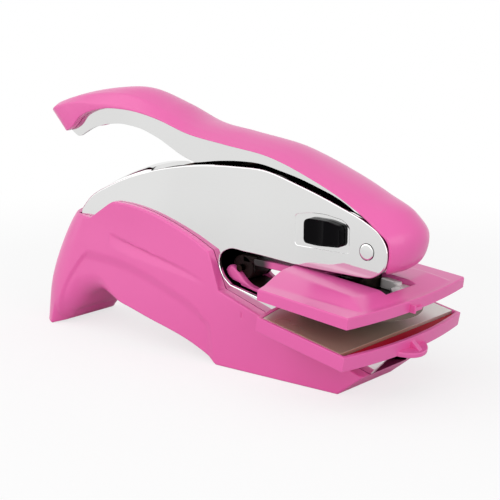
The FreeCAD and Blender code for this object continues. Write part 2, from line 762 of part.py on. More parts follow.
def lower_arm():
    """The clip's lower arm, from the tray back along the jaw and up to the knuckle."""
    lift = tray_slide_gap / math.cos(math.radians(jaw_slope_deg))
    rear = hinge_x - hinge_radius
    front = tray_rear_x + tray_wall

    def above_jaw(x, height):
        return (x, jaw_line(x) + lift + height)

    low_rear = above_jaw(hinge_x, 0)
    thick_x = hinge_x + 2 * hinge_radius
    pieces = straight([low_rear, above_jaw(front, 0), above_jaw(front, clip_arm_thickness),
                       above_jaw(thick_x, 2 * clip_arm_thickness - lift),
                       (hinge_x + hinge_radius, hinge_z), (hinge_x, hinge_z), low_rear])
    arm = prism(pieces, -lower_arm_half_width, lower_arm_half_width)
    clearance = hinge_radius + hinge_gap
    for side in (-1, 1):
        low, high = sorted((side * (hinge_knuckle_half_width - hinge_gap / 2), side * overrun))
        arm = arm.cut(rod(hinge_x, hinge_z, clearance, low, high))
    knuckle = rod(hinge_x, hinge_z, hinge_radius, -hinge_knuckle_half_width + hinge_gap,
                  hinge_knuckle_half_width - hinge_gap)
    return arm.fuse(knuckle)


def lower_plate():
    """The satin steel plate in the tray."""
    rim = tray_rim_z()
    gap = plate_clearance
    half_width = plate_half_width - tray_wall - gap
    plan = bowed_plan(tray_rear_x + tray_wall + gap, tray_length - 2 * tray_wall, half_width,
                      tray_front_bow, tray_rear_bow, rim - tray_pocket)
    plate = plan.extrude(FreeCAD.Vector(0, 0, tray_pocket - gap))
    front = tray_rear_x + steel_plate_front - gap
    keep = box(tray_rear_x - overrun, front, -plate_half_width, plate_half_width,
               rim - overrun, rim + overrun)
    return one_solid(on_tray(plate.common(keep)))


def hinge_pin():
    """The pin of the clip's hinge."""
    return rod(hinge_x, hinge_z, hinge_pin_radius, -hinge_half_width, hinge_half_width)


def on_upper(shape):
    """Lay a shape, drawn flat at the upper rim's height, at the upper plate's slope."""
    return tilted(shape, upper_rear_x, upper_rim_z, upper_slope_deg)


def plateau_plan(shares, z):
    """A plan of the raised middle from its rear half width, front half width and reach, as shares."""
    rear_share, front_share, reach_share = shares
    x_rear = upper_rear_x - upper_rear_bow
    x_front = upper_rear_x + reach_share * upper_length
    near_rear = FreeCAD.Vector(x_rear, -rear_share * plate_half_width, z)
    near_front = FreeCAD.Vector(x_front, -front_share * plate_half_width, z)
    far_front = FreeCAD.Vector(x_front, front_share * plate_half_width, z)
    far_rear = FreeCAD.Vector(x_rear, rear_share * plate_half_width, z)
    front = Part.Arc(near_front, FreeCAD.Vector(x_front + front_share * upper_front_bow, 0, z), far_front)
    return Part.Wire([Part.LineSegment(near_rear, near_front).toShape(), front.toShape(),
                      Part.LineSegment(far_front, far_rear).toShape(),
                      Part.LineSegment(far_rear, near_rear).toShape()])


def plateau(plan):
    """The raised middle of the upper plate, with bevelled sides and front, up to the plate's rear edge."""
    low = plateau_plan(plateau_foot_shares, upper_rim_z - upper_wall / 2)
    high = plateau_plan(plateau_head_shares, upper_rim_z + plateau_rise)
    above = plan.extrude(FreeCAD.Vector(0, 0, overrun))
    return Part.makeLoft([low, high], True, True).common(above)


def upper_plate():
    """The upper half of the clip: plate with a raised middle, a square hole, an arm and hinge knuckles."""
    rim = upper_rim_z
    low = rim - upper_thickness
    plan = bowed_plan(upper_rear_x, upper_length, plate_half_width, upper_front_bow, upper_rear_bow, low)
    body = plan.extrude(FreeCAD.Vector(0, 0, upper_thickness)).fuse(plateau(plan))
    tab_x = upper_rear_x + upper_length + upper_front_bow
    tab = box(tab_x - upper_wall, tab_x + upper_tab_reach, -upper_tab_half_width, upper_tab_half_width,
              low, low + upper_wall)
    body = body.fuse(tab)
    die_x = upper_rear_x + upper_length / 2
    seat = post(die_x, 0, die_radius + plate_clearance, low - overrun, low + upper_wall)
    body = body.cut(seat)
    body = body.cut(box(hole_rear_x, hole_front_x, -hole_half_width, hole_half_width,
                        low - overrun, rim + overrun))
    body = on_upper(body)
    bore = rod(hinge_x, hinge_z, hinge_pin_radius + running_gap, -overrun, overrun)
    body = body.fuse(upper_arm()).cut(bore)
    return one_solid(body)


def upper_arm():
    """The clip's upper arm, from the knuckles forward under the upper jaw."""
    front = upper_rear_x + upper_wall
    high = upper_rim_z + plateau_rise / 2
    pieces = straight([(hinge_x, hinge_z + hinge_radius), (front, high), (front, high - clip_arm_thickness),
                       (hinge_x + hinge_radius, hinge_z + hinge_radius - clip_arm_thickness),
                       (hinge_x, hinge_z + hinge_radius - clip_arm_thickness)])
    arm = prism(pieces, -hinge_half_width, hinge_half_width)
    clearance = hinge_radius + hinge_gap
    arm = arm.cut(rod(hinge_x, hinge_z, clearance, -hinge_knuckle_half_width, hinge_knuckle_half_width))
    for side in (-1, 1):
        low, high = sorted((side * (hinge_knuckle_half_width), side * hinge_half_width))
        arm = arm.fuse(rod(hinge_x, hinge_z, hinge_radius, low, high))
    return arm


def die_low_z():
    """Height of the upper die's face, drawn flat."""
    return upper_rim_z - upper_thickness - die_protrusion


def upper_die():
    """The round die block below the upper plate."""
    die_x = upper_rear_x + upper_length / 2
    top = upper_rim_z - upper_thickness + upper_wall - die_plate_thickness - plate_clearance
    return on_upper(post(die_x, 0, die_radius, die_low_z(), top))


def upper_die_plate():
    """The mirror-bright backing plate of the upper die, with the pad that the foot presses."""
    die_x = upper_rear_x + upper_length / 2
    top = upper_rim_z - upper_thickness + upper_wall - plate_clearance
    plate = post(die_x, 0, die_radius, top - die_plate_thickness, top)
    pad_top = foot_low_z() - die_pad_top_gap
    pad = box(foot_x - die_pad_length / 2, foot_x + die_pad_length / 2,
              -die_pad_half_width, die_pad_half_width, pad_top - overrun, pad_top)
    below = on_upper(box(die_x - overrun, die_x + overrun, -overrun, overrun, top - overrun - overrun,
                         top - die_plate_thickness / 2))
    return one_solid(on_upper(plate).fuse(pad.cut(below)))


def main():
    """Write one file for each piece."""
    os.makedirs("parts", exist_ok=True)
    rear_floor = rear_underside()
    pieces = {
        "base_shell": base_shell(),
        "press_frame": press_frame(),
        "pivot_rivet": pivot_rivet(),
        "press_arm_pin": arm_pin(),
        "jaw_spacer_front": spacer(spacer_front_x, spacer_front_z),
        "jaw_spacer_rear": spacer(spacer_rear_x, spacer_rear_z),
        "base_screw_front": base_screw(spacer_front_x, 0, spacer_front_z),
        "base_screw_rear": base_screw(spacer_rear_x, rear_floor, spacer_rear_z),
        "return_spring": return_spring(),
        "handle_cap": handle_cap(),
        "handle_lever": handle_lever(),
        "pivot_bush": pivot_bush(),
        "roller_pin": roller_pin(),
        "press_roller": press_roller(),
        "cap_screw_rear": cap_screw(cap_screw_rear_x),
        "cap_screw_front": cap_screw(cap_screw_front_x),
        "press_arm": press_arm(),
        "press_foot": press_foot(),
        "lock_button": lock_button(),
        "lock_latch": lock_latch(),
        "die_tray": die_tray(),
        "lower_die_plate": lower_plate(),
        "clip_hinge_pin": hinge_pin(),
        "upper_plate": upper_plate(),
        "upper_die_plate": upper_die_plate(),
        "upper_die": upper_die()}
    for name, shape in pieces.items():
        limits = shape.BoundBox
        print("%-18s solids %d valid %s volume %8.0f  X %6.1f %6.1f  Y %6.1f %6.1f  Z %6.1f %6.1f" % (
            name, len(shape.Solids), shape.isValid(), shape.Volume, limits.XMin, limits.XMax,
            limits.YMin, limits.YMax, limits.ZMin, limits.ZMax))
        shape.exportStep(os.path.join("parts", name + ".step"))


main()
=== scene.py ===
# %% [markdown]
# # A hand-held seal embosser
# This lesson dresses a CAD model of a small hand press. A pink moulded base holds a folded steel frame.
# A steel lever under a pink cap turns on a rivet in the frame's nose, and a clip of two pink plates slides
# along the lower jaw. The CAD model is the fixed frame, and each new piece is laid over one of its nodes.

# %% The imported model
import json
import math

import bmesh
import bpy
import numpy as np
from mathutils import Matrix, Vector
from mathutils.geometry import delaunay_2d_cdt


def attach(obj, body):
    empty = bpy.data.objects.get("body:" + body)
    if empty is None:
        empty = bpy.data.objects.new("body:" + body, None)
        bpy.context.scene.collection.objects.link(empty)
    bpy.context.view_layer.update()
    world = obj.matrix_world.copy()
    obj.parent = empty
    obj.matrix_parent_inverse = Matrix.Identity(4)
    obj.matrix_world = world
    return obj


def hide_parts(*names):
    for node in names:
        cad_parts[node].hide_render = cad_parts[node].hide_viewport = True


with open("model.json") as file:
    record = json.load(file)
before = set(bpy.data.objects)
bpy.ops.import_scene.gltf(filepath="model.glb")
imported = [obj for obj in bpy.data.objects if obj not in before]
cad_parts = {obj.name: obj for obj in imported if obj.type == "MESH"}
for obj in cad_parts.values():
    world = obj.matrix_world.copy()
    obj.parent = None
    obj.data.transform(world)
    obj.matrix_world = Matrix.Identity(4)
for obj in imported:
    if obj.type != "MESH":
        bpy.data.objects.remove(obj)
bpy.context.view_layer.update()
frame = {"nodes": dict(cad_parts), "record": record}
nodes = frame["nodes"]

# %% [markdown]
# ## One ruler
# Outlines are written in millimetres. Lengths along the tool count from the plates' front corner line,
# because that line is easy to see from any side, and heights count from the table. A function turns them
# into the CAD model's metres. Side outlines are laid on upright planes, and plans on level ones.

# %% The ruler
MM = 0.001
CORNER_LINE = 81.9


def to_model(places):
    """Millimetres from the corner line, the centre plane and the table, as metres of the model."""
    return (np.asarray(places, float) + (CORNER_LINE, 0, 0)) * MM


def upright(line, y):
    """A side outline of (x, z) pairs laid on the upright plane at that y."""
    line = np.asarray(line, float)
    x, y, z = np.broadcast_arrays(line[..., 0], y, line[..., 1])
    return np.stack([x, y, z], axis=-1)


def level(line, z):
    """A plan of (x, y) pairs laid at the height z."""
    line = np.asarray(line, float)
    return np.concatenate([line, np.full(line.shape[:-1] + (1,), z)], axis=-1)


# %% [markdown]
# ## Lines and grids
# Almost every piece is a grid of points: one direction follows an outline, the other goes round or across.
# A smooth line needs only a few points, with cubic pieces between them. Quads join the grid's neighbours,
# and a piece made of several grids is closed by merging the points that coincide.

# %% Smooth and straight lines
def smooth_line(points, count):
    """Cubic pieces through the points, each point's slope being that of its neighbours, evenly spread."""
    points = np.asarray(points, float)
    gaps = np.linalg.norm(np.diff(points, axis=0), axis=1)
    along = np.concatenate([[0], np.cumsum(gaps)])
    slope = np.gradient(points, along, axis=0)
    place = np.linspace(0, along[-1], count)
    k = np.clip(np.searchsorted(along, place, side="right") - 1, 0, len(along) - 2)
    width = (along[k + 1] - along[k])[:, None]
    u = (place - along[k])[:, None] / width
    return ((1 + 2 * u) * (1 - u) ** 2 * points[k] + u * (1 - u) ** 2 * width * slope[k]
            + u ** 2 * (3 - 2 * u) * points[k + 1] + u ** 2 * (u - 1) * width * slope[k + 1])


def height_along(line, x):
    """The height of a line of (x, z) pairs at each x, straight between its points."""
    line = np.asarray(line, float)
    order = np.argsort(line[:, 0], kind="stable")
    return np.interp(x, line[order, 0], line[order, 1])


def soft_step(value):
    """0 below 0, 1 above 1, and an S-shaped climb between."""
    value = np.clip(value, 0, 1)
    return value * value * (3 - 2 * value)


def round_corners(corners, setbacks, steps):
    """Closed outlines whose corners are replaced by small curves.

    corners has the shape (outlines, corners, 2). A curve leaves each corner's two sides at the setback from it,
    as a quadratic arc with the corner as its middle handle, but never past 0.45 of a side.
    """
    before = np.roll(corners, 1, axis=1) - corners
    after = np.roll(corners, -1, axis=1) - corners
    length_before = np.maximum(np.linalg.norm(before, axis=-1, keepdims=True), 1e-9)
    length_after = np.maximum(np.linalg.norm(after, axis=-1, keepdims=True), 1e-9)
    back = np.asarray(setbacks, float)[None, :, None]
    start = corners + before / length_before * np.minimum(back, 0.45 * length_before)
    end = corners + after / length_after * np.minimum(back, 0.45 * length_after)
    u = np.linspace(0, 1, steps)[None, None, :, None]
    curve = (1 - u) ** 2 * start[:, :, None] + 2 * u * (1 - u) * corners[:, :, None] + u ** 2 * end[:, :, None]
    return curve.reshape(len(corners), -1, 2)


def distance_to_line(x, z, line):
    """The distance of each (x, z) to the nearest place on a line of straight pieces."""
    line = np.asarray(line, float)
    start, run = line[:-1], np.diff(line, axis=0)
    offset = np.stack([x, z], axis=-1)[..., None, :] - start
    share = np.clip((offset * run).sum(-1) / (run * run).sum(-1), 0, 1)
    return np.linalg.norm(offset - share[..., None] * run, axis=-1).min(-1)


# %% Grids into meshes
def grid_patch(grid, around=False):
    """A grid of points as (points, faces): quads between neighbours, closed round the columns if asked."""
    rows, columns = grid.shape[:2]
    number = np.arange(rows * columns).reshape(rows, columns)
    right = np.roll(number, -1, axis=1) if around else number[:, 1:]
    left = number if around else number[:, :-1]
    faces = np.stack([left[:-1], right[:-1], right[1:], left[1:]], axis=-1).reshape(-1, 4)
    return grid.reshape(-1, 3), faces.tolist()


def inside_loop(points, loop):
    """Whether each point lies inside a closed loop: a ray from it crosses the loop an odd number of times."""
    a, b = loop, np.roll(loop, -1, axis=0)
    spans = (a[:, 1] > points[:, None, 1]) != (b[:, 1] > points[:, None, 1])
    run = np.where(a[:, 1] == b[:, 1], 1e-9, b[:, 1] - a[:, 1])
    cross = a[:, 0] + (points[:, None, 1] - a[:, 1]) / run * (b[:, 0] - a[:, 0])
    return (spans & (points[:, None, 0] < cross)).sum(axis=1) % 2 == 1


def flat_patch(outline, holes, lift, place):
    """A flat face with holes, from loops of pairs that lift lays at a place: upright at a y or level at a z."""
    loops = [np.asarray(loop, float) for loop in [outline] + list(holes)]
    points = [Vector(p) for loop in loops for p in loop]
    starts = np.cumsum([0] + [len(loop) for loop in loops])
    sides = [[(s + i, s + (i + 1) % n) for i in range(n)] for s, n in zip(starts, map(len, loops))]
    flat, _, faces, *_ = delaunay_2d_cdt(points, sum(sides, []), [], 1, 1e-6)
    flat, faces = np.array([tuple(p) for p in flat]), np.array([tuple(f) for f in faces])
    middles = flat[faces].mean(axis=1)
    for loop in loops[1:]:
        outside = ~inside_loop(middles, loop)
        middles, faces = middles[outside], faces[outside]
    return lift(flat, place), faces.tolist()


def make_piece(name, patches, material, body, sharp_deg=50.0, flat_faces=False):
    """Joins patches into one closed mesh with outward faces, and gives it a finish and a body.

    On a piece with flat faces, normals are weighted by face area, so that a flat face stays flat in a reflection.
    """
    points = np.concatenate([p for p, _ in patches])
    starts = np.cumsum([0] + [len(p) for p, _ in patches])
    faces = [[start + i for i in face] for start, (_, fs) in zip(starts, patches) for face in fs]
    mesh = bpy.data.meshes.new(name)
    mesh.from_pydata(to_model(points).tolist(), [], faces)
    work = bmesh.new()
    work.from_mesh(mesh)
    bmesh.ops.remove_doubles(work, verts=work.verts, dist=2e-6)
    bmesh.ops.dissolve_degenerate(work, edges=work.edges, dist=1e-7)
    bmesh.ops.recalc_face_normals(work, faces=work.faces)
    work.to_mesh(mesh)
    open_edges = sum(1 for e in work.edges if len(e.link_faces) != 2)
    work.free()
    mesh.shade_smooth()
    mesh.set_sharp_from_angle(angle=math.radians(sharp_deg))
    thing = bpy.data.objects.new(name, mesh)
    bpy.context.scene.collection.objects.link(thing)
    mesh.materials.append(material)
    if flat_faces:
        weighted = thing.modifiers.new("flat faces stay flat", "WEIGHTED_NORMAL")
        weighted.mode = "FACE_AREA"
        weighted.keep_sharp = True
    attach(thing, body)
    print(name, len(mesh.polygons), "faces", open_edges, "open edges")
    return thing


# %% [markdown]
# ## Finishes
# The object is pink moulding, bright chrome, satin steel and glossy black moulding. Small effects that they share
# are node groups: a fine moulded grain, long drawn lines, the cloudy film that fingers leave, and a drift between
# two tones. Each shader node is made by one call, which also sets its options and its inputs.

# %% Shader nodes in one call
def node(tree, kind, inputs=None, **options):
    """A shader node. Each input takes a value, or another node's output, which is then linked to it."""
    made = tree.nodes.new("ShaderNode" + kind)
    for name, value in options.items():
        setattr(made, name, value)
    for name, value in (inputs or {}).items():
        if isinstance(value, bpy.types.NodeSocket):
            tree.links.new(value, made.inputs[name])
        else:
            made.inputs[name].default_value = value
    return made


def maths(tree, operation, *values):
    """The output of a math node on values or other nodes' outputs."""
    return node(tree, "Math", dict(enumerate(values)), operation=operation).outputs[0]


def climb(tree, value, low, high, **inputs):
    """An S-shaped climb from To Min to To Max, 0 and 1 if not given, while the value goes from low to high."""
    ends = {"From Min": low, "From Max": high} | {name.replace("_", " "): end for name, end in inputs.items()}
    return node(tree, "MapRange", {"Value": value} | ends, interpolation_type="SMOOTHSTEP").outputs["Result"]


# %% Shared effects
CLOUD_EDGES = (0.35, 0.65)


def new_effect(name, inputs, output):
    """A node group with float inputs and one float output; gives it, its ends and the object's coordinates."""
    group = bpy.data.node_groups.new(name, "ShaderNodeTree")
    for label, value in inputs:
        socket = group.interface.new_socket(name=label, in_out="INPUT", socket_type="NodeSocketFloat")
        socket.default_value = value
    group.interface.new_socket(name=output, in_out="OUTPUT", socket_type="NodeSocketFloat")
    enter = group.nodes.new("NodeGroupInput").outputs
    leave = group.nodes.new("NodeGroupOutput").inputs[output]
    return group, enter, leave, node(group, "TexCoord").outputs["Object"]


def noise(tree, place, scale, detail):
    """A noise over the places, about 0.5 in the middle."""
    return node(tree, "TexNoise", {"Vector": place, "Scale": scale, "Detail": detail}).outputs["Fac"]


def moulded_grain():
    """Height of a fine noise in object coordinates."""
    group, enter, leave, place = new_effect("moulded grain", [("Scale", 900.0)], "Height")
    group.links.new(noise(group, place, enter["Scale"], 3.0), leave)
    return group


def drawn_lines():
    """Height of a noise stretched along Y, as rolling or grinding leaves it."""
    group, enter, leave, place = new_effect("drawn lines", [("Scale", 300.0), ("Stretch", 0.03)], "Height")
    squeeze = node(group, "CombineXYZ", {"X": 1.0, "Y": enter["Stretch"], "Z": 1.0}).outputs["Vector"]
    drawn = node(group, "VectorMath", {0: place, 1: squeeze}, operation="MULTIPLY").outputs["Vector"]
    group.links.new(noise(group, drawn, enter["Scale"], 4.0), leave)
    return group


def finger_film():
    """A roughness that drifts between two values in soft clouds."""
    group, enter, leave, place = new_effect("finger film", [("Scale", 40.0), ("Low", 0.2), ("High", 0.3)],
                                            "Roughness")
    clouds = noise(group, place, enter["Scale"], 2.0)
    group.links.new(climb(group, clouds, *CLOUD_EDGES, To_Min=enter["Low"], To_Max=enter["High"]), leave)
    return group


def two_tone():
    """A mask that drifts between 0 and 1 in soft clouds."""
    group, enter, leave, place = new_effect("two tone", [("Scale", 25.0)], "Mask")
    group.links.new(climb(group, noise(group, place, enter["Scale"], 1.0), *CLOUD_EDGES), leave)
    return group


GRAIN, LINES, FILM, TONE = moulded_grain(), drawn_lines(), finger_film(), two_tone()
print("shared effects", [g.name for g in (GRAIN, LINES, FILM, TONE)])


# %% What makes a finish
def finish(name, colours, metallic, film, relief, relief_height, tone_scale=25.0, specular=0.5, lines=False):
    """A shader whose colour drifts between two tones, with a cloudy roughness and a fine relief.

    film has the lowest and highest roughness, relief is the grain's scale and relief_height is in millimetres.
    """
    material = bpy.data.materials.new(name)
    material.use_nodes = True
    tree = material.node_tree
    shader = tree.nodes["Principled BSDF"]
    shader.inputs["Metallic"].default_value = metallic
    shader.inputs["Specular IOR Level"].default_value = specular
    tone = node(tree, "Group", {"Scale": tone_scale}, node_tree=TONE).outputs["Mask"]
    mix = node(tree, "Mix", {"Factor": tone, "A": (*colours[0], 1), "B": (*colours[1], 1)}, data_type="RGBA")
    clouds = node(tree, "Group", {"Low": film[0], "High": film[1]}, node_tree=FILM)
    fine = node(tree, "Group", {"Scale": relief}, node_tree=LINES if lines else GRAIN)
    bump = node(tree, "Bump", {"Strength": 1.0, "Distance": relief_height * MM, "Height": fine.outputs["Height"]})
    tree.links.new(mix.outputs["Result"], shader.inputs["Base Color"])
    tree.links.new(clouds.outputs["Roughness"], shader.inputs["Roughness"])
    tree.links.new(bump.outputs["Normal"], shader.inputs["Normal"])
    return material


# %% The finishes
def change_colour(material, other, axis, low, high, absolute=False):
    """Another colour below the low place on an axis, in millimetres, that turns into the finish's own at high."""
    tree = material.node_tree
    base = tree.nodes["Principled BSDF"].inputs["Base Color"]
    value = node(tree, "SeparateXYZ", {0: node(tree, "TexCoord").outputs["Object"]}).outputs[axis]
    if absolute:
        value = maths(tree, "ABSOLUTE", value)
    mask = climb(tree, value, low * MM, high * MM)
    mix = node(tree, "Mix", {"Factor": mask, "A": (*other, 1), "B": base.links[0].from_socket}, data_type="RGBA")
    tree.links.new(mix.outputs["Result"], base)


PINK = [(0.79, 0.120, 0.395), (0.775, 0.115, 0.385)]
BRIGHT = [(0.74, 0.74, 0.735), (0.76, 0.76, 0.755)]
MOULDED = 0.0, (0.29, 0.32), 1400.0, 0.004
POLISHED = 1.0, (0.03, 0.06), 60.0, 0.004
pink = finish("pink moulding", PINK, *MOULDED)
arm_pink_painted_shade = finish("pink moulding, painted shade at hinge", PINK, *MOULDED)
chrome = finish("bright chrome", BRIGHT, *POLISHED)
sheet_chrome_painted_shade = finish("bright sheet, painted shade inside", BRIGHT, *POLISHED)
band_chrome_painted_shade = finish("bright lever, painted shade inside", [(0.72, 0.72, 0.715), (0.74, 0.74, 0.735)], *POLISHED)
plain_steel = finish("plain steel", [(0.52, 0.51, 0.50), (0.60, 0.59, 0.58)], 1.0, (0.22, 0.32), 700.0, 0.003,
                     lines=True)
satin_steel = finish("satin plate", [(0.66, 0.64, 0.60), (0.72, 0.70, 0.66)], 0.55, (0.26, 0.34), 900.0, 0.006,
                     lines=True)
pale_sheet_painted_reflection = finish("pale sheet, painted reflection", [(0.80, 0.80, 0.78), (0.84, 0.84, 0.82)], 0.2, (0.25, 0.35), 700.0, 0.003)
steel_painted_shade = finish("steel, painted shade", [(0.020, 0.013, 0.010), (0.035, 0.022, 0.016)], 1.0, (0.25, 0.4), 500.0,
                    0.004, tone_scale=300.0)
black = finish("black moulding", [(0.003, 0.003, 0.0035), (0.005, 0.005, 0.0055)], 0.0, (0.16, 0.24), 1500.0,
               0.003, specular=0.03)
knuckle_painted_shade = finish("hinge knuckle, painted shade", [(0.010, 0.005, 0.005), (0.014, 0.006, 0.006)], 0.0, (0.35, 0.45),
                      1400.0, 0.004, specular=0.08)
well_painted_shade = finish("pink well, painted shade", [(0.50, 0.004, 0.035), (0.44, 0.003, 0.028)], 0.0, (0.4, 0.5), 1400.0, 0.004,
                 specular=0.1)
die_material = finish("die plastic", [(0.10, 0.075, 0.055), (0.13, 0.095, 0.07)], 0.0, (0.45, 0.55), 900.0, 0.01)
# Painted shade and painted light on the satin plate: brown on its near side stands for the shade and dark reflection
# under the upper plate, and a paler rear strip for the lighter reflection beyond that shade.
change_colour(satin_steel, (0.54, 0.38, 0.29), "Y", -6.0, 26.0)
change_colour(satin_steel, (0.66, 0.62, 0.55), "X", 45.0, 51.0)
# Painted shade: the cheeks' inner faces, between the sheets, are coloured near black for the shade in the throat.
change_colour(sheet_chrome_painted_shade, (0.035, 0.022, 0.018), "Y", 9.6, 10.0, absolute=True)
# Painted shade: the lever's inner faces are coloured near black for the shade in the gap under the cap.
change_colour(band_chrome_painted_shade, (0.020, 0.012, 0.010), "Y", 8.6, 8.95, absolute=True)
# Painted shade: the upper arm's pink turns near black towards the hinge, for the shade deep in the throat.
change_colour(arm_pink_painted_shade, (0.012, 0.004, 0.006), "X", 26.0, 31.0)
by_slot = {"coloured_plastic": pink, "chrome_steel": chrome, "plain_steel": plain_steel,
           "satin_steel": satin_steel, "black_plastic": black, "die_polymer": die_material}
# Parts hidden in the throat and under the upper plate get steel coloured near black: painted shade.
IN_THE_DARK = ("clip_hinge_pin", "return_spring", "press_arm", "press_arm_pin", "press_foot", "upper_die_plate")
for part in frame["record"]["subparts"]:
    thing = nodes[part["node"]]
    thing.data.materials.clear()
    thing.data.materials.append(steel_painted_shade if part["node"] in IN_THE_DARK else by_slot[part["material_slot"]])
print("finishes", len(by_slot))

# %% [markdown]
# ## The moulded base
# The base is one moulding: a round heel, an arch, and a block in front. Its skin is a strip that runs from the
# near front round the heel to the far front, so it is a grid of upright columns bent into a U. Each column
# starts on the underside's outline and ends on the crest's, and the panel's recess is a small inward shift.

# %% Outlines of the base
BASE_REAR, BASE_FRONT = -170.0, -7.5
HEEL_LEVELS = [0.0, 17.6, 32.0, 44.0, 52.4]
HEEL_CENTRES = [-147.5, -147.5, -144.0, -138.4, -130.0]
HEEL_RADII = [19.4, 17.3, 15.3, 13.8, 13.2]
FRONT_HALF_WIDTHS = [16.0, 15.2, 14.4, 13.8, 13.2]
CREST = [(-124.3, 52.1), (-118.0, 52.1), (-105.1, 50.4), (-95.0, 47.7), (-85.3, 44.3), (-75.9, 40.1)]
BASE_TOP = ([(BASE_REAR, 46.4), (-137.0, 44.5), (-135.6, 44.9), (-126.0, 51.3)]
            + smooth_line(CREST, 40).tolist() + [(-70.3, 26.9), (BASE_FRONT, 7.7)])
HOOK = [(-156.0, 0.0), (-150.9, 2.9), (-145.6, 7.0), (-139.2, 13.6), (-133.7, 16.0), (-125.8, 15.6),
        (-103.4, 10.9), (-81.2, 5.2), (-73.5, 2.0), (-69.9, 0.0)]
BASE_UNDER = [(BASE_REAR, 0.0)] + smooth_line(HOOK, 60).tolist() + [(-17.2, 0.0), (BASE_FRONT, 7.7)]
CHANNEL_FLOOR = [(-145.0, 37.0), (-134.0, 24.0), (-123.9, 20.0), (-101.9, 15.0), (-80.1, 9.4), (-68.0, 6.5),
                 (-14.0, 6.5), (BASE_FRONT, 7.7)]
CHANNEL_HALF = 11.2
PANEL_REAR = smooth_line([(-136.9, 32.6), (-142.1, 26.6), (-146.9, 19.3), (-150.1, 11.9), (-152.2, 4.2),
                          (-153.6, -2.0)], 40)
PANEL_TOP = smooth_line([(-136.9, 32.6), (-133.1, 32.4), (-119.5, 31.6), (-107.0, 29.2), (-95.1, 25.7),
                         (-83.4, 21.6), (-76.4, 18.1)], 40)
PANEL_FRONT = smooth_line([(-76.4, 18.1), (-72.6, 14.0), (-71.1, 7.2), (-69.9, -2.0)], 20)
PANEL_DEPTH, GROOVE_DEPTH, SNAP_DEPTH = 0.8, 0.75, 0.5
SNAP_PLACE, SNAP_HALF = (-59.3, 19.8), (0.5, 0.8)
FOOT_RADIUS, EDGE = 7.0, 0.6
ARCH_START, ARCH_END = -156, -133
FLANK_COLUMNS, HEEL_COLUMNS, SKIN_LEVELS, SKIN_TOP = 300, 72, 1600, 54
LOW_BAND, LOW_ROWS, MIDDLE_ROWS, HIGH_BAND, HIGH_ROWS = 9.0, 26, 52, 0.7, 8
GROOVE = smooth_line([(-125.2, 39.9), (-113.7, 37.2), (-103.0, 35.1), (-88.1, 32.2), (-76.6, 29.2)], 40)
print("base outlines", len(BASE_TOP), len(BASE_UNDER))


# %% Width and relief of the skin
def smooth_at(z, values):
    """A value at each height, smooth between its values at the heel's levels."""
    return np.interp(z, *smooth_line(np.column_stack([HEEL_LEVELS, values]), 60).T)


def skin_place(share, turn, z):
    """The outer skin before its relief.

    share runs from 0 at the front to 1 at the heel's centre, and turn from -90 to 90 degrees round the heel.
    The side's half width falls in a straight line from the heel's radius to the front's half width.
    """
    centre, radius = smooth_at(z, HEEL_CENTRES), smooth_at(z, HEEL_RADII)
    front = np.interp(z, HEEL_LEVELS, FRONT_HALF_WIDTHS)
    along = BASE_FRONT + share * (centre - BASE_FRONT)
    half = front + share * (radius - front)
    x = np.where(share < 1, along, centre - radius * np.cos(turn))
    y = np.where(share < 1, half * np.sign(turn), radius * np.sin(turn))
    out = np.where(share < 1, 0, np.cos(turn))
    side = np.where(share < 1, np.sign(turn), np.sin(turn))
    return x, y, out, side


def skin_relief(x, z):
    """How far the skin is sunk: the lower panel, the tapering groove above it and a small snap slot."""
    inside = (z < height_along(PANEL_TOP, x)) | (x > PANEL_TOP[-1, 0])
    inside &= (x > height_along(PANEL_REAR[:, ::-1], z)) & (x < height_along(PANEL_FRONT[:, ::-1], z))
    panel = PANEL_DEPTH * inside
    for line, fade in ((PANEL_REAR, 1.6), (PANEL_TOP, 4.5), (PANEL_FRONT, 4.0)):
        panel = panel * soft_step(distance_to_line(x, z, line) / fade)
    below = height_along(GROOVE, x) - z
    run = np.clip((x - GROOVE[0, 0]) / (GROOVE[-1, 0] - GROOVE[0, 0]), 0, 1)
    depth = GROOVE_DEPTH * np.sin(np.pi * run ** 0.62)
    groove = depth * soft_step(below / 0.8 + 0.5) * (1 - soft_step((below - 0.6) / (1.5 + 3.5 * (1 - run))))
    snap = SNAP_DEPTH * (1 - soft_step(np.abs(x - SNAP_PLACE[0]) / SNAP_HALF[0])) * (
        1 - soft_step((np.abs(z - SNAP_PLACE[1]) - SNAP_HALF[1]) / 0.4))
    return panel + groove + snap


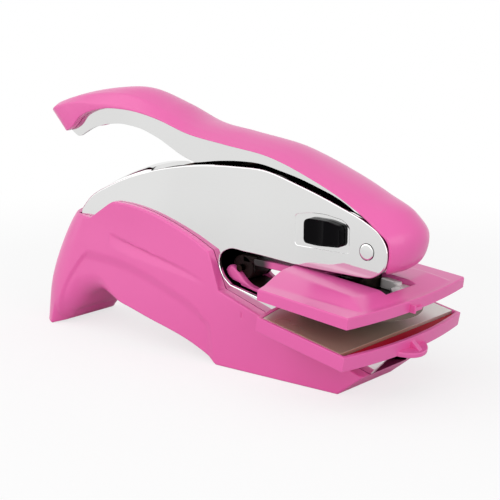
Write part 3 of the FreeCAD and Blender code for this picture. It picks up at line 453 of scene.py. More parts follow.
# %% The base's skin, rim, channel and underside
def base_grid():
    """Columns of the U-shaped skin, from underside to crest, with rounded edges and rows crowded near them."""
    ahead = np.linspace(0, 1, FLANK_COLUMNS, endpoint=False)
    share = np.concatenate([ahead, np.ones(2 * HEEL_COLUMNS + 1), np.linspace(1, 0, FLANK_COLUMNS + 1)[1:]])
    quarter = np.pi / 2
    turn = np.concatenate([np.full(FLANK_COLUMNS, -quarter), np.linspace(-quarter, quarter, 2 * HEEL_COLUMNS + 1),
                           np.full(FLANK_COLUMNS, quarter)])
    levels = np.linspace(0, SKIN_TOP, SKIN_LEVELS)
    x_at = skin_place(share[:, None], turn[:, None], levels[None])[0]
    above = levels >= height_along(BASE_UNDER, x_at)
    low = levels[above.argmax(1)]
    beyond = levels > height_along(BASE_TOP, x_at)
    high = np.maximum(levels[np.maximum(beyond.argmax(1) - 1, 0)], low)
    high[[0, -1]] = low[[0, -1]]
    tall = high - low
    fall = LOW_BAND * np.linspace(0, 1, LOW_ROWS) ** 1.6
    rise = HIGH_BAND * np.linspace(0, 1, HIGH_ROWS) ** 1.5
    from_low = low[:, None] + fall * np.minimum(1, 0.6 * tall[:, None] / fall[-1])
    from_high = high[:, None] - rise[::-1] * np.minimum(1, 0.3 * tall[:, None] / rise[-1])
    between = np.linspace(0, 1, MIDDLE_ROWS)[None, 1:-1]
    middle = from_low[:, -1:] + between * (from_high[:, :1] - from_low[:, -1:])
    z = np.concatenate([from_low, middle, from_high], axis=1)
    x, y, out, side = skin_place(share[:, None], turn[:, None], z)
    line = np.linspace(BASE_REAR, 0, 400)
    slope = np.gradient(height_along(BASE_UNDER, line), line)
    lean = 1 / np.hypot(1, np.interp(x[:, :1], line, slope))
    foot = soft_step((x[:, :1] - ARCH_START) / 3) * (1 - soft_step((x[:, :1] - ARCH_END) / 16))
    radius = EDGE + FOOT_RADIUS * foot
    near_low = np.clip(1 - (z - low[:, None]) * lean / radius, 0, 1)
    near_high = np.clip(1 - (high[:, None] - z) / EDGE, 0, 1)
    sink = radius * (1 - np.sqrt(1 - near_low ** 2)) + EDGE * (1 - np.sqrt(1 - near_high ** 2))
    sink = sink + skin_relief(x, z) * (1 - near_high)
    return np.stack([x + out * sink, y - side * sink, z], axis=-1)


def across(edge, walls):
    """Rows from each near column's end across to its mirror image on the far side.

    walls gives, for each row, the floor between the channel's walls, or NaN where the row is straight.
    """
    half = len(edge) // 2
    near, far = edge[:half + 1], edge[::-1][:half + 1]
    lane = np.minimum(CHANNEL_HALF, np.abs(near[:, 1]))
    zero = np.zeros_like(lane)
    y = np.stack([near[:, 1], -(lane + np.abs(near[:, 1])) / 2, -lane, -lane, zero, lane, lane,
                  (lane + np.abs(near[:, 1])) / 2, far[:, 1]], axis=1)
    z = np.repeat(near[:, 2:3], 9, axis=1)
    z[:, 3:6] = np.where(np.isnan(walls)[:, None], z[:, 3:6], walls[:, None])
    x = np.repeat(near[:, :1], 9, axis=1)
    return np.stack([x, y, z], axis=-1)


skin = base_grid()
bottom_edge, top_edge = skin[:, 0], skin[:, -1]
half_count = len(skin) // 2 + 1
top_x = top_edge[:half_count, 0]
floor = np.where(top_x > CHANNEL_FLOOR[0][0], height_along(CHANNEL_FLOOR, top_x), np.nan)
floor[0] = top_edge[0, 2]
straight_rows = np.full(half_count, np.nan)
base_skin = make_piece("base_moulding", [grid_patch(skin), grid_patch(across(bottom_edge, straight_rows)),
                                         grid_patch(across(top_edge, np.minimum(floor, top_edge[:half_count, 2])))],
                       pink, "stand", sharp_deg=40)
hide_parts("base_shell")

# %% [markdown]
# ## The pressed frame
# Two cheeks of bright sheet are joined at the rear by a crowned bridge, rolled over in one piece. A cheek is a
# flat outline with holes, so its faces are cut from a triangulated outline and its rims are thin rounded strips.

# %% Sheets and slabs
def inset_loop(loop, depth):
    """A closed loop moved inwards along the mean of its two sides' normals."""
    before = loop - np.roll(loop, 1, axis=0)
    after = np.roll(loop, -1, axis=0) - loop
    before = before / np.maximum(np.linalg.norm(before, axis=1, keepdims=True), 1e-9)
    after = after / np.maximum(np.linalg.norm(after, axis=1, keepdims=True), 1e-9)
    ahead = before + after
    ahead = ahead / np.maximum(np.linalg.norm(ahead, axis=1, keepdims=True), 1e-9)
    stretch = 1 / np.maximum((ahead * before).sum(1, keepdims=True), 0.5)
    normal = np.column_stack([-ahead[:, 1], ahead[:, 0]]) * stretch
    area = (loop[:, 0] * np.roll(loop[:, 1], -1) - np.roll(loop[:, 0], -1) * loop[:, 1]).sum()
    return loop + normal * depth * np.sign(area)


def circle(centre, radius, count):
    """A closed loop of points round a centre."""
    turn = np.linspace(0, 2 * np.pi, count, endpoint=False)
    return np.column_stack([centre[0] + radius * np.cos(turn), centre[1] + radius * np.sin(turn)])


def rounded_loop(corners, setback, steps=6):
    """One closed outline with rounded corners."""
    corners = np.asarray(corners, float)
    return round_corners(corners[None], np.full(len(corners), setback), steps)[0]


def loop_strip(loop, rows, lift):
    """A closed strip of a loop: for each row, the loop drawn in by the row's inset and laid at its place."""
    return grid_patch(np.array([lift(inset_loop(loop, inset), place) for place, inset in rows]), around=True)


def slab(outline, low, high, rim, holes=(), lift=upright, round_low=True, round_high=True):
    """A flat slab between two parallel planes, with rounded edges.

    Each edge is a quarter circle of the rim's radius: at the height rim (1 - sin t) the outline is drawn in by
    rim (1 - cos t). Holes have the same edges, drawn outwards.
    """
    toward = np.sign(high - low)
    turn = np.linspace(0, np.pi / 2, 4)
    start = [(low + toward * rim * (1 - np.cos(t)), rim * (1 - np.sin(t))) for t in turn]
    end = [(high - toward * rim * (1 - np.cos(t)), rim * (1 - np.sin(t))) for t in turn[::-1]]
    rows = (start if round_low else [(low, 0)]) + (end if round_high else [(high, 0)])
    patches = [flat_patch(inset_loop(outline, inset), [inset_loop(h, -inset) for h in holes], lift, place)
               for place, inset in (rows[0], rows[-1])]
    for loop, sign in [(outline, 1)] + [(h, -1) for h in holes]:
        patches.append(loop_strip(loop, [(place, sign * inset) for place, inset in rows], lift))
    return patches


def laid_down(patches, x, z, angle_deg):
    """Patches drawn flat turned about the line across at (x, z), front end down."""
    angle = math.radians(angle_deg)
    turned = []
    for points, faces in patches:
        dx, dz = points[:, 0] - x, points[:, 2] - z
        turned.append((np.stack([x + dx * math.cos(angle) + dz * math.sin(angle), points[:, 1],
                                 z - dx * math.sin(angle) + dz * math.cos(angle)], axis=-1), faces))
    return turned


# %% Outlines of a cheek
CHEEK_TOP = [(-143.3, 46.6), (-138.8, 51.5), (-127.6, 57.8), (-106.7, 65.4), (-86.9, 69.5), (-63.7, 71.4),
             (-54.7, 71.5), (-37.4, 67.7), (-20.8, 62.6), (-10.8, 58.9)]
NOSE = [(-5.1, 55.6), (-1.9, 49.7), (-3.0, 44.3)]
CEILING = [(-7.6, 40.6), (-14.3, 40.0), (-37.1, 40.2)]
THROAT = [(-14.3, 40.0), (-37.1, 40.2), (-61.4, 41.5), (-69.0, 41.4), (-72.9, 38.6), (-73.3, 35.2), (-71.6, 31.4),
          (-68.3, 28.6)]
JAW_TIP = [(-0.6, 15.07), (-7.1, 8.0), (-14.0, 6.8)]
HIDDEN_FLOOR = [(-68.1, 6.8), (-79.9, 9.8), (-101.9, 15.4), (-124.0, 20.5), (-133.0, 24.6), (-141.6, 35.0),
                (-144.2, 41.0)]
PIVOT = (-9.9, 49.0)
RIVET_SEAT = 2.95
CHEEK_Y = 11.0
SHEET = 1.5


def cheek_outline():
    """The cheek's closed outline: smooth top and nose, a ceiling that runs into a round throat, a straight jaw."""
    top = smooth_line(CHEEK_TOP + NOSE + CEILING, 260)
    meet = np.argmin(np.abs(top - THROAT[0]) @ (1, 10))
    return np.concatenate([top[:meet], smooth_line(THROAT, 120)[1:], JAW_TIP, HIDDEN_FLOOR])


# %% The cheeks and the rolled bridge
LOCK_SLOT = rounded_loop([(-35.1, 53.2), (-25.3, 53.2), (-25.3, 56.7), (-35.1, 56.7)], 0.3)
RECESS = rounded_loop([(-39.4, 47.2), (-17.0, 47.2), (-16.8, 56.4), (-19.8, 58.4), (-27.0, 59.4), (-33.0, 59.2),
                       (-39.3, 58.0)], 1.2)
RECESS_DEPTH = 0.12
NEAR_RIM, FAR_RIM = 0.4, 0.3
outline = cheek_outline()


def near_cheek():
    """The near cheek: its outer face has a pressed recess, and the recess's floor has the lock's slot."""
    turn = np.linspace(0, np.pi / 2, 7)
    edge = [(-CHEEK_Y + NEAR_RIM * (1 - np.cos(t)), NEAR_RIM * (1 - np.sin(t))) for t in turn]
    inner = -CHEEK_Y + SHEET
    press = [(-CHEEK_Y, -0.08), (-CHEEK_Y + 0.015, -0.03), (-CHEEK_Y + 0.05, 0.0), (-CHEEK_Y + 0.10, 0.03),
             (-CHEEK_Y + RECESS_DEPTH, 0.1)]
    floor_y = press[-1][0]
    seat = circle(PIVOT, RIVET_SEAT, 64)
    return [flat_patch(inset_loop(outline, NEAR_RIM), [inset_loop(RECESS, press[0][1]), seat], upright, -CHEEK_Y),
            loop_strip(seat, [(-CHEEK_Y, 0), (inner, 0)], upright),
            loop_strip(outline, edge + [(inner, 0)], upright),
            loop_strip(RECESS, press, upright),
            flat_patch(inset_loop(RECESS, press[-1][1]), [LOCK_SLOT], upright, floor_y),
            loop_strip(LOCK_SLOT, [(floor_y, 0), (inner, 0)], upright),
            flat_patch(outline, [LOCK_SLOT, seat], upright, inner)]


far_sheet = slab(outline, CHEEK_Y, CHEEK_Y - SHEET, FAR_RIM, round_high=False)
BRIDGE_REAR, BRIDGE_FRONT, BRIDGE_GAP = -143.2, -105.5, 0.02
BRIDGE_CROWN = [(-143.3, 0.3), (-130.0, 0.9), (-124.6, 1.5), (-117.2, 2.1), (-109.0, 2.5), (-105.5, 1.5)]


def bridge_patches():
    """The crowned bridge: across y its height is the cheek's plus the crown times (1 - |y/half|^2.6)^(1/2.2)."""
    rail = smooth_line(CHEEK_TOP, 400)
    ahead = np.gradient(rail, axis=0)
    normal = np.column_stack([-ahead[:, 1], ahead[:, 0]]) / np.linalg.norm(ahead, axis=1, keepdims=True)
    chosen = (rail[:, 0] > BRIDGE_REAR) & (rail[:, 0] < BRIDGE_FRONT)
    rail, normal = rail[chosen][::2], normal[chosen][::2]
    turn = np.linspace(-np.pi / 2, np.pi / 2, 41)
    y = (CHEEK_Y - BRIDGE_GAP) * np.sin(turn)
    crown = np.clip(1 - np.abs(y / (CHEEK_Y - BRIDGE_GAP)) ** 2.6, 0, 1) ** (1 / 2.2)
    grow = np.interp(rail[:, 0], *np.transpose(BRIDGE_CROWN))[:, None]
    rise = crown * grow
    outer = upright(rail[:, None] + normal[:, None] * rise[..., None], y)
    inner = upright(rail[:, None] + normal[:, None] * (rise - SHEET)[..., None], y * (CHEEK_Y - SHEET) / CHEEK_Y)
    ends = [np.stack([outer[k], inner[k]]) for k in (0, -1)]
    sides = [np.stack([outer[:, k], inner[:, k]]) for k in (0, -1)]
    return [grid_patch(grid) for grid in [outer, inner] + ends + sides]


# The cheeks' inner faces carry painted shade.
cheeks = make_piece("frame_cheeks", near_cheek() + far_sheet, sheet_chrome_painted_shade, "stand", sharp_deg=60,
                    flat_faces=True)
bridge = make_piece("frame_bridge", bridge_patches(), chrome, "stand")
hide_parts("press_frame")
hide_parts("press_frame")

# %% [markdown]
# ## The handle
# The cap is a long shell whose cross-section changes from a deep rounded end, through a thin waist, to the nose.
# Each station has its lower edge, its top, its half width and where the side turns into the bevel, and a smooth
# line through these numbers gives all the stations between.

# %% The cap
CAP_STATIONS = [
    (-154.6, 77.4, -163.9, 82.3, 0.4, 0.80, 0.70, 0.92),
    (-154.2, 76.8, -163.6, 82.8, 4.2, 0.82, 0.70, 0.93),
    (-153.4, 76.4, -162.8, 83.9, 7.1, 0.83, 0.70, 0.94),
    (-152.0, 76.2, -161.1, 85.3, 9.8, 0.83, 0.70, 0.94),
    (-150.2, 76.5, -158.8, 86.7, 11.4, 0.82, 0.70, 0.94),
    (-147.0, 78.1, -154.3, 88.5, 12.0, 0.79, 0.70, 0.93),
    (-142.5, 82.4, -146.0, 90.9, 12.0, 0.65, 0.70, 0.90),
    (-131.5, 86.3, -132.2, 93.5, 12.0, 0.27, 0.70, 0.78),
    (-118.0, 87.0, -118.0, 94.4, 12.0, 0.12, 0.70, 0.68),
    (-102.1, 84.8, -101.3, 90.0, 12.0, 0.12, 0.70, 0.62),
    (-88.1, 81.0, -88.4, 85.0, 12.0, 0.12, 0.70, 0.60),
    (-70.0, 78.6, -68.4, 82.4, 12.0, 0.12, 0.68, 0.54),
    (-50.0, 76.2, -47.5, 79.1, 12.0, 0.12, 0.67, 0.60),
    (-34.0, 71.3, -30.5, 73.2, 12.0, 0.12, 0.67, 0.60),
    (-16.5, 63.7, -11.9, 66.1, 12.0, 0.12, 0.67, 0.61),
    (-6.6, 57.4, -0.5, 61.1, 12.0, 0.14, 0.67, 0.62),
    (-1.8, 53.0, 4.2, 54.8, 11.5, 0.16, 0.67, 0.64),
    (-1.5, 48.6, 3.6, 49.1, 10.8, 0.18, 0.68, 0.66),
    (-3.0, 44.2, 1.5, 45.0, 9.7, 0.20, 0.68, 0.68),
    (-4.0, 42.4, -0.5, 43.2, 8.6, 0.20, 0.68, 0.69),
    (-4.7, 41.5, -2.3, 42.0, 6.6, 0.20, 0.68, 0.70),
    (-5.0, 41.2, -3.5, 41.5, 3.6, 0.20, 0.68, 0.70)]
LEVER_HALF, LEVER_SHEET = 9.2, 1.2
CAP_SECTIONS = 320
LEVER_GAP = 0.15
CROWN_SHARE, LANE_SHARE = 0.78, 0.35


def cap_loft():
    """Sections of the cap as closed outlines with rounded corners, spread along it."""
    rows = smooth_line(CAP_STATIONS, CAP_SECTIONS)
    x_low, z_low, x_top, z_top, half, side, inset, shoulder = rows.T
    one, low = np.ones_like(half), np.zeros_like(half)
    lane = np.minimum(LEVER_HALF + LEVER_GAP, 0.8 * half)
    bend = half * inset
    y = np.stack([-lane, -half, -half, -bend, -bend * 0.5, low, bend * 0.5, bend, half, half, lane, lane, -lane],
                 axis=1)
    crown = shoulder + (1 - shoulder) * CROWN_SHARE
    deep = LANE_SHARE * one
    share = np.stack([low, low, side, shoulder, crown, one, crown, shoulder, side, low, low, deep, deep], axis=1)
    setbacks = [0.2, 0.4, 0.6, 0.9, 3.0, 3.0, 3.0, 0.9, 0.6, 0.4, 0.2, 0.2, 0.2]
    tall = np.hypot(x_top - x_low, z_top - z_low)
    flat = round_corners(np.stack([y, share * tall[:, None]], axis=-1), setbacks, 6)
    up = flat[..., 1] / tall[:, None]
    return np.stack([x_low[:, None] + up * (x_top - x_low)[:, None], flat[..., 0],
                     z_low[:, None] + up * (z_top - z_low)[:, None]], axis=-1)


def closed_loft(loft):
    """A loft round a closed section, with a fan to the middle point at both ends."""
    middles = [np.repeat(loft[k].mean(axis=0)[None], loft.shape[1], axis=0) for k in (0, -1)]
    return [grid_patch(np.concatenate([middles[0][None], loft, middles[1][None]]), around=True)]


cap = make_piece("handle_shell", closed_loft(cap_loft()), pink, "handle")
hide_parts("handle_cap")

# %% The lever
LEVER_UNDER = [(-150.1, 77.0), (-149.0, 76.2), (-147.4, 75.2), (-145.7, 74.6), (-144.9, 74.8), (-142.9, 75.8),
               (-138.5, 78.1), (-133.8, 79.7), (-128.4, 80.7), (-123.1, 81.2), (-117.9, 80.9), (-112.8, 80.2),
               (-107.8, 78.8), (-102.8, 77.0), (-97.9, 74.7), (-93.0, 72.5), (-88.2, 71.0), (-85.8, 70.4)]
FAR_UNDER = [(-147.5, 79.2), (-140.0, 79.4), (-135.0, 79.8), (-130.0, 80.6)] + LEVER_UNDER[9:]
LEVER_FRONT = [(-79.0, 68.3), (-68.0, 64.0), (-50.0, 54.5), (-37.9, 46.9), (-29.9, 46.2), (-18.1, 43.6),
               (-9.9, 42.6)]
LEVER_NOSE = [(-9.9, 42.6), (-3.4, 44.2), (-1.8, 49.0), (-3.5, 54.6), (-9.9, 58.3)]
LEVER_TOP = [(-9.9, 58.3), (-22.0, 66.3), (-37.0, 72.6), (-53.0, 76.7), (-71.9, 79.8), (-92.0, 83.4),
             (-110.9, 88.6), (-124.9, 89.1), (-138.0, 86.5), (-146.2, 80.3)]
SLOT_TOP = [(-84.5, 70.6), (-74.3, 72.2), (-65.1, 73.0), (-56.1, 73.0), (-47.4, 71.5), (-38.8, 69.7), (-30.4, 67.3),
            (-24.2, 65.3), (-18.1, 62.4), (-14.2, 59.8)]
ROLLER = (-34.0, 50.7)
SLOT_DEPTH, SLOT_FLOOR_REAR = 3.2, -77.5
BUSH_RADIUS, AXLE_RADIUS = 3.6, 1.5
LOCK_WINDOW = [(-35.4, 53.2), (-23.5, 53.2), (-23.5, 60.2), (-35.4, 60.2)]


def lever_flange(side):
    """One flange: the rear band and the part behind the cheek, joined in front of the long slot between them.

    The far flange's rear end is shallower. The near flange has a window for the lock.
    """
    slot_top = smooth_line(SLOT_TOP, 80)
    slot_floor = slot_top[slot_top[:, 0] > SLOT_FLOOR_REAR] - (0, SLOT_DEPTH)
    loop = np.concatenate([smooth_line(LEVER_UNDER if side < 0 else FAR_UNDER, 120), slot_top, slot_floor[::-1],
                           smooth_line(LEVER_FRONT, 60)[:-1], smooth_line(LEVER_NOSE, 30)[:-1],
                           smooth_line(LEVER_TOP, 120)])
    holes = [circle(PIVOT, BUSH_RADIUS, 48), circle(ROLLER, AXLE_RADIUS, 32)]
    if side < 0:
        holes.append(np.array(LOCK_WINDOW))
    return slab(loop, side * LEVER_HALF, side * (LEVER_HALF - LEVER_SHEET), 0.12, holes)


def lever_web():
    """The web between the flanges, under the cap."""
    top = smooth_line(LEVER_TOP, 120)
    y = np.array([-1.0, 1.0]) * (LEVER_HALF - LEVER_SHEET)
    upper = upright(top[:, None], y)
    lower = upright((top - (0, LEVER_SHEET))[:, None], y)
    ring = np.stack([upper[:, 0], upper[:, 1], lower[:, 1], lower[:, 0]], axis=1)
    ends = [grid_patch(np.stack([upper[k], lower[k]])) for k in (0, -1)]
    return [grid_patch(ring, around=True)] + ends


# The lever's inner faces carry painted shade.
lever = make_piece("lever_channel", lever_flange(-1) + lever_flange(1) + lever_web(), band_chrome_painted_shade, "handle",
                   sharp_deg=60, flat_faces=True)
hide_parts("handle_lever")

# %% [markdown]
# ## The clip
# The upper plate is a thick plate with a raised middle. Its top is a height field over the plate's bowed plan.
# Grid lines are snapped to the square hole's edges, so the hole is simply the block of quads that is left out.
# The lower tray is a slab with a shallow pocket for the satin plate and a deeper crescent in front of it.

# %% Plan of the upper plate
PLATE_HALF = 35.0
UPPER_REAR, UPPER_RIM, UPPER_SLOPE, UPPER_THICK = -36.1, 37.1, 5.7, 3.9
UPPER_LENGTH, UPPER_FRONT_BOW, UPPER_REAR_BOW = 36.2, 3.0, 5.0
HOLE_X, HOLE_Y = (-29.0, -3.5), 8.75
FOOT_HALF, HEAD_HALF = (29.6, 27.5), (18.4, 22.0)
FOOT_FRONT, HEAD_FRONT = -1.6, -8.6
PLATEAU = 2.4
EDGE_RADIUS, HOLE_EDGE_RADIUS = 0.5, 0.35
DIE_SEAT_RADIUS, SEAT_DEPTH = 20.65, 2.0
RIDGE_BLEND, BEND_WIDTH = 0.10, 0.12
SIDE_COLUMNS, HOLE_COLUMNS = 110, 30
REAR_ROWS, HOLE_ROWS, FRONT_ROWS = 40, 50, 36


def packed(start, end, count):
    """Places between two limits, ten times closer at both ends than in the middle."""
    s = np.linspace(0, 1, count)
    return start + (end - start) * (s - 0.9 * np.sin(2 * np.pi * s) / (2 * np.pi))


def eased_ramp(t, width):
    """t limited to 0 and 1, with both bends rounded over the width."""
    t = np.clip(t, -width, 1 + width)
    low = (t + width) ** 2 / (4 * width)
    high = 1 - (1 + width - t) ** 2 / (4 * width)
    return np.where(t < width, low, np.where(t > 1 - width, high, t))


def edge_drop(distance, radius):
    """How far a rounded edge falls at a distance from it."""
    inside = np.clip(1 - distance / radius, 0, 1)
    return radius * (1 - np.sqrt(1 - inside ** 2))


def plateau_height(x, y):
    """The raised middle: a ramp from its foot to its head on the sides and in front."""
    run = np.clip((x - UPPER_REAR) / (HEAD_FRONT - UPPER_REAR), -0.2, 1.3)
    foot = FOOT_HALF[0] + run * (FOOT_HALF[1] - FOOT_HALF[0])
    head = HEAD_HALF[0] + run * (HEAD_HALF[1] - HEAD_HALF[0])
    side = (foot - np.abs(y)) / (foot - head)
    bow = 1 - (y / PLATE_HALF) ** 2
    foot_x, head_x = FOOT_FRONT + UPPER_FRONT_BOW * bow, HEAD_FRONT + UPPER_FRONT_BOW * bow
    front = (foot_x - x) / (foot_x - head_x)
    near = np.minimum(side, front)
    mixed = near - RIDGE_BLEND * np.clip(1 - np.abs(side - front) / (4 * RIDGE_BLEND), 0, 1) ** 2
    return PLATEAU * eased_ramp(mixed, BEND_WIDTH)


# %% The upper plate's body
def upper_patches():
    """The upper plate: height field, rounded rim, square hole and a flat underside with the die's round seat."""
    y = np.concatenate([packed(-PLATE_HALF, -HOLE_Y, SIDE_COLUMNS)[:-1], packed(-HOLE_Y, HOLE_Y, HOLE_COLUMNS),
                        packed(HOLE_Y, PLATE_HALF, SIDE_COLUMNS)[1:]])
    bow = 1 - (y / PLATE_HALF) ** 2
    rear = UPPER_REAR - UPPER_REAR_BOW * bow
    front = UPPER_REAR + UPPER_LENGTH + UPPER_FRONT_BOW * bow
    u1, u2, u3 = (packed(0, 1, n)[:, None] for n in (REAR_ROWS, HOLE_ROWS, FRONT_ROWS))
    x = np.concatenate([(rear + u1 * (HOLE_X[0] - rear))[:-1],
                        (HOLE_X[0] + u2 * (HOLE_X[1] - HOLE_X[0] + 0 * rear))[:-1],
                        HOLE_X[1] + u3 * (front - HOLE_X[1])])
    yy = np.broadcast_to(y, x.shape)
    hole_gap = np.maximum(np.abs(yy) - HOLE_Y, np.maximum(HOLE_X[0] - x, x - HOLE_X[1]))
    z = UPPER_RIM + plateau_height(x, yy) - edge_drop(np.maximum(hole_gap, 0), HOLE_EDGE_RADIUS)
    for gap in (PLATE_HALF - np.abs(yy), x - rear, front - x):
        z = z - edge_drop(gap, EDGE_RADIUS)
    grid = np.stack([x, yy, z], axis=-1)
    rows, columns = grid.shape[:2]
    r0, c0 = REAR_ROWS - 1, SIDE_COLUMNS - 1
    r1, c1 = r0 + HOLE_ROWS - 1, c0 + HOLE_COLUMNS - 1
    number = np.arange(rows * columns).reshape(rows, columns)
    keep = np.ones((rows - 1, columns - 1), bool)
    keep[r0:r1, c0:c1] = False
    quads = np.stack([number[:-1, :-1], number[:-1, 1:], number[1:, 1:], number[1:, :-1]], axis=-1)[keep]
    border = np.concatenate([grid[0, :-1], grid[:-1, -1], grid[-1, :0:-1], grid[:0:-1, 0]])
    hole = np.concatenate([grid[r0, c0:c1], grid[r0:r1, c1], grid[r1, c1:c0:-1], grid[r1:r0:-1, c0]])
    low = UPPER_RIM - UPPER_THICK
    seat = circle((UPPER_REAR + UPPER_LENGTH / 2, 0), DIE_SEAT_RADIUS, 96)
    base = border[:, :2]
    return [(grid.reshape(-1, 3), quads.tolist()), grid_patch(np.stack([border, level(base, low)]), around=True),
            grid_patch(np.stack([hole, level(hole[:, :2], low + SEAT_DEPTH)]), around=True),
            flat_patch(base, [seat], level, low),
            loop_strip(seat, [(low, 0), (low + SEAT_DEPTH, 0)], level),
            flat_patch(seat, [hole[:, :2]], level, low + SEAT_DEPTH)]


# %% The upper plate with its arm
HINGE = (-66.6, 34.3)
HINGE_RADIUS = 4.6
ARM_HALF, RAIL_IN, RAIL_SWELL, ARM_CORE_HALF = 8.0, 5.6, (6.0, 8.2), 5.5
KNUCKLE_IN, KNUCKLE_OUT, CORE_HALF = 4.3, 5.9, 3.95
ARM_UPPER_Z, ARM_LOWER_Z = 38.9, 36.3


def upper_arm():
    """The arm from the hinge to the plate, with two knuckles whose outer faces cover the pin."""
    high = UPPER_RIM + PLATEAU / 2
    arm = rounded_loop([(-60.0, ARM_UPPER_Z), (-33.6, high), (-33.6, high - 2.6), (-60.0, ARM_LOWER_Z)], 1.0)
    knuckle = circle(HINGE, HINGE_RADIUS, 64)
    reach = rounded_loop([(HINGE[0], ARM_UPPER_Z), (-57.0, ARM_UPPER_Z - 0.02), (-57.0, ARM_LOWER_Z),
                          (HINGE[0], ARM_LOWER_Z)], 1.0)
    knuckles = []
    for side in (-1, 1):
        for loop, rim in ((knuckle, 0.5), (reach, 0.3)):
            knuckles += slab(loop, side * KNUCKLE_IN, side * KNUCKLE_OUT, rim)
    return slab(arm, -ARM_HALF, ARM_HALF, 0.4), knuckles


arm, knuckles = upper_arm()
TAB = rounded_loop([(0.0, -4.4), (1.8, -4.4), (4.1, -2.6), (4.1, 2.6), (1.8, 4.4), (0.0, 4.4)], 0.6)
TAB_RIB = rounded_loop([(1.0, -3.9), (5.2, -3.9), (5.2, -3.0), (1.0, -3.0)], 0.3)
TAB_LOW = UPPER_RIM - UPPER_THICK
tab = (slab(TAB, TAB_LOW, TAB_LOW + 1.2, 0.2, lift=level)
       + slab(TAB_RIB, TAB_LOW, TAB_LOW + 2.7, 0.15, lift=level))
# The arm's end near the hinge carries painted shade.
upper = make_piece("upper_clip_plate", laid_down(upper_patches() + tab, UPPER_REAR, UPPER_RIM, UPPER_SLOPE)
                   + arm, arm_pink_painted_shade, "clip_upper", flat_faces=True)
# The knuckles are coloured near black as painted shade in the throat.
hinge = make_piece("clip_hinge_knuckles", knuckles, knuckle_painted_shade, "clip_upper")
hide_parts("upper_plate")
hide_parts("upper_plate")


# %% The sheet in the hole
def hole_sheet():
    """A metal sheet in the hole's front part, whose pale colour is a painted reflection: a cross strip and a lobe on
    the far side.
    """
    strip = rounded_loop([(-8.2, 1.0), (-3.7, -4.0), (-3.7, 8.6), (-8.2, 8.6)], 1.2)
    lobe = rounded_loop([(-15.5, 5.0), (-8.0, 5.0), (-8.0, 8.6), (-15.5, 8.6)], 1.5)
    return (slab(strip, UPPER_RIM - 1.9, UPPER_RIM + 0.5, 0.2, lift=level)
            + slab(lobe, UPPER_RIM - 1.9, UPPER_RIM + 1.2, 0.2, lift=level))


make_piece("hole_sheet", laid_down(hole_sheet(), UPPER_REAR, UPPER_RIM, UPPER_SLOPE), pale_sheet_painted_reflection, "clip_upper")

# %% The tray and the satin plate
TRAY_REAR, TRAY_LENGTH, TRAY_THICK, TRAY_SLOPE = -36.3, 35.9, 5.1, 11.3
TRAY_FRONT_BOW, TRAY_REAR_BOW, WALL = 3.2, 4.0, 1.3
SEAT_SINK, WELL_SINK = 1.5, 3.2
PLATE_GAP, WELL_GAP = 0.15, 0.1
TAB_RADIUS, TAB_REACH, TAB_THICK = 9.0, 4.8, 1.8
FALL = math.tan(math.radians(TRAY_SLOPE))
JAW_REAR = (-68.3, 28.6)
TRAY_RIM = JAW_REAR[1] - (TRAY_REAR - JAW_REAR[0]) * FALL + 5.2 / math.cos(math.radians(TRAY_SLOPE))
PLATE_FRONT = TRAY_REAR + 33.4


def bowed_outline(rear, front, half, front_bow, rear_bow, count=60):
    """A plan with straight sides and parabolic ends, as a closed loop of (x, y) pairs."""
    y = np.linspace(-half, half, count)
    bow = 1 - (y / half) ** 2
    return np.concatenate([np.column_stack([front + front_bow * bow, y]),
                           np.column_stack([rear - rear_bow * bow, y])[::-1]])


def tray_patches():
    """The tray: rounded rim, pocket walls, the plate's seat and the deeper crescent in front of it."""
    outer = bowed_outline(TRAY_REAR, TRAY_REAR + TRAY_LENGTH, PLATE_HALF, TRAY_FRONT_BOW, TRAY_REAR_BOW)
    half = PLATE_HALF - WALL
    pocket = bowed_outline(TRAY_REAR + WALL, TRAY_REAR + TRAY_LENGTH - WALL, half, TRAY_FRONT_BOW, TRAY_REAR_BOW)
    low, seat_z, deep_z = TRAY_RIM - TRAY_THICK, TRAY_RIM - SEAT_SINK, TRAY_RIM - WELL_SINK
    n = 60
    front_arc, rear_arc = pocket[:n], pocket[n:]
    seat = np.concatenate([[(PLATE_FRONT, -half)], [(PLATE_FRONT, half)], rear_arc])
    crescent = np.concatenate([front_arc, [(PLATE_FRONT, half)], [(PLATE_FRONT, -half)]])
    edge = [(TRAY_RIM, 0.3), (TRAY_RIM - 0.05, 0.14), (TRAY_RIM - 0.14, 0.05), (TRAY_RIM - 0.3, 0), (low + 0.3, 0),
            (low + 0.1, 0.1), (low, 0.3)]
    lip = [(TRAY_RIM, -0.2), (TRAY_RIM - 0.06, -0.06), (TRAY_RIM - 0.2, 0)]
    wall_line = np.concatenate([seat[1:], seat[:1]])
    deep_line = np.concatenate([[(PLATE_FRONT, -half)], front_arc, [(PLATE_FRONT, half)]])
    joined = np.concatenate([front_arc, [(PLATE_FRONT, half)], rear_arc, [(PLATE_FRONT, -half)]])
    return [flat_patch(inset_loop(outer, 0.3), [inset_loop(joined, -0.2)], level, TRAY_RIM),
            loop_strip(outer, edge, level),
            flat_patch(inset_loop(outer, 0.3), [], level, low),
            loop_strip(joined, lip, level),
            grid_patch(np.array([level(wall_line, z) for z in (TRAY_RIM - 0.2, seat_z)])),
            grid_patch(np.array([level(deep_line, z) for z in (TRAY_RIM - 0.2, seat_z, deep_z)])),
            grid_patch(np.array([level(seat[:2], z) for z in (seat_z, deep_z)])),
            flat_patch(seat, [], level, seat_z),
            flat_patch(crescent, [], level, deep_z)]


# %% The thumb tab and the arm
BULB = [(-73.2, 33.0), (-72.2, 34.2), (-70.9, 34.8), (-69.3, 34.4), (-67.8, 33.5), (-65.3, 31.4), (-63.7, 29.9),
        (-61.2, 28.4), (-60.2, 27.6), (-63.2, 27.8), (-65.3, 28.3), (-66.8, 28.8), (-70.4, 29.8), (-72.4, 31.3),
        (-73.2, 33.0)]


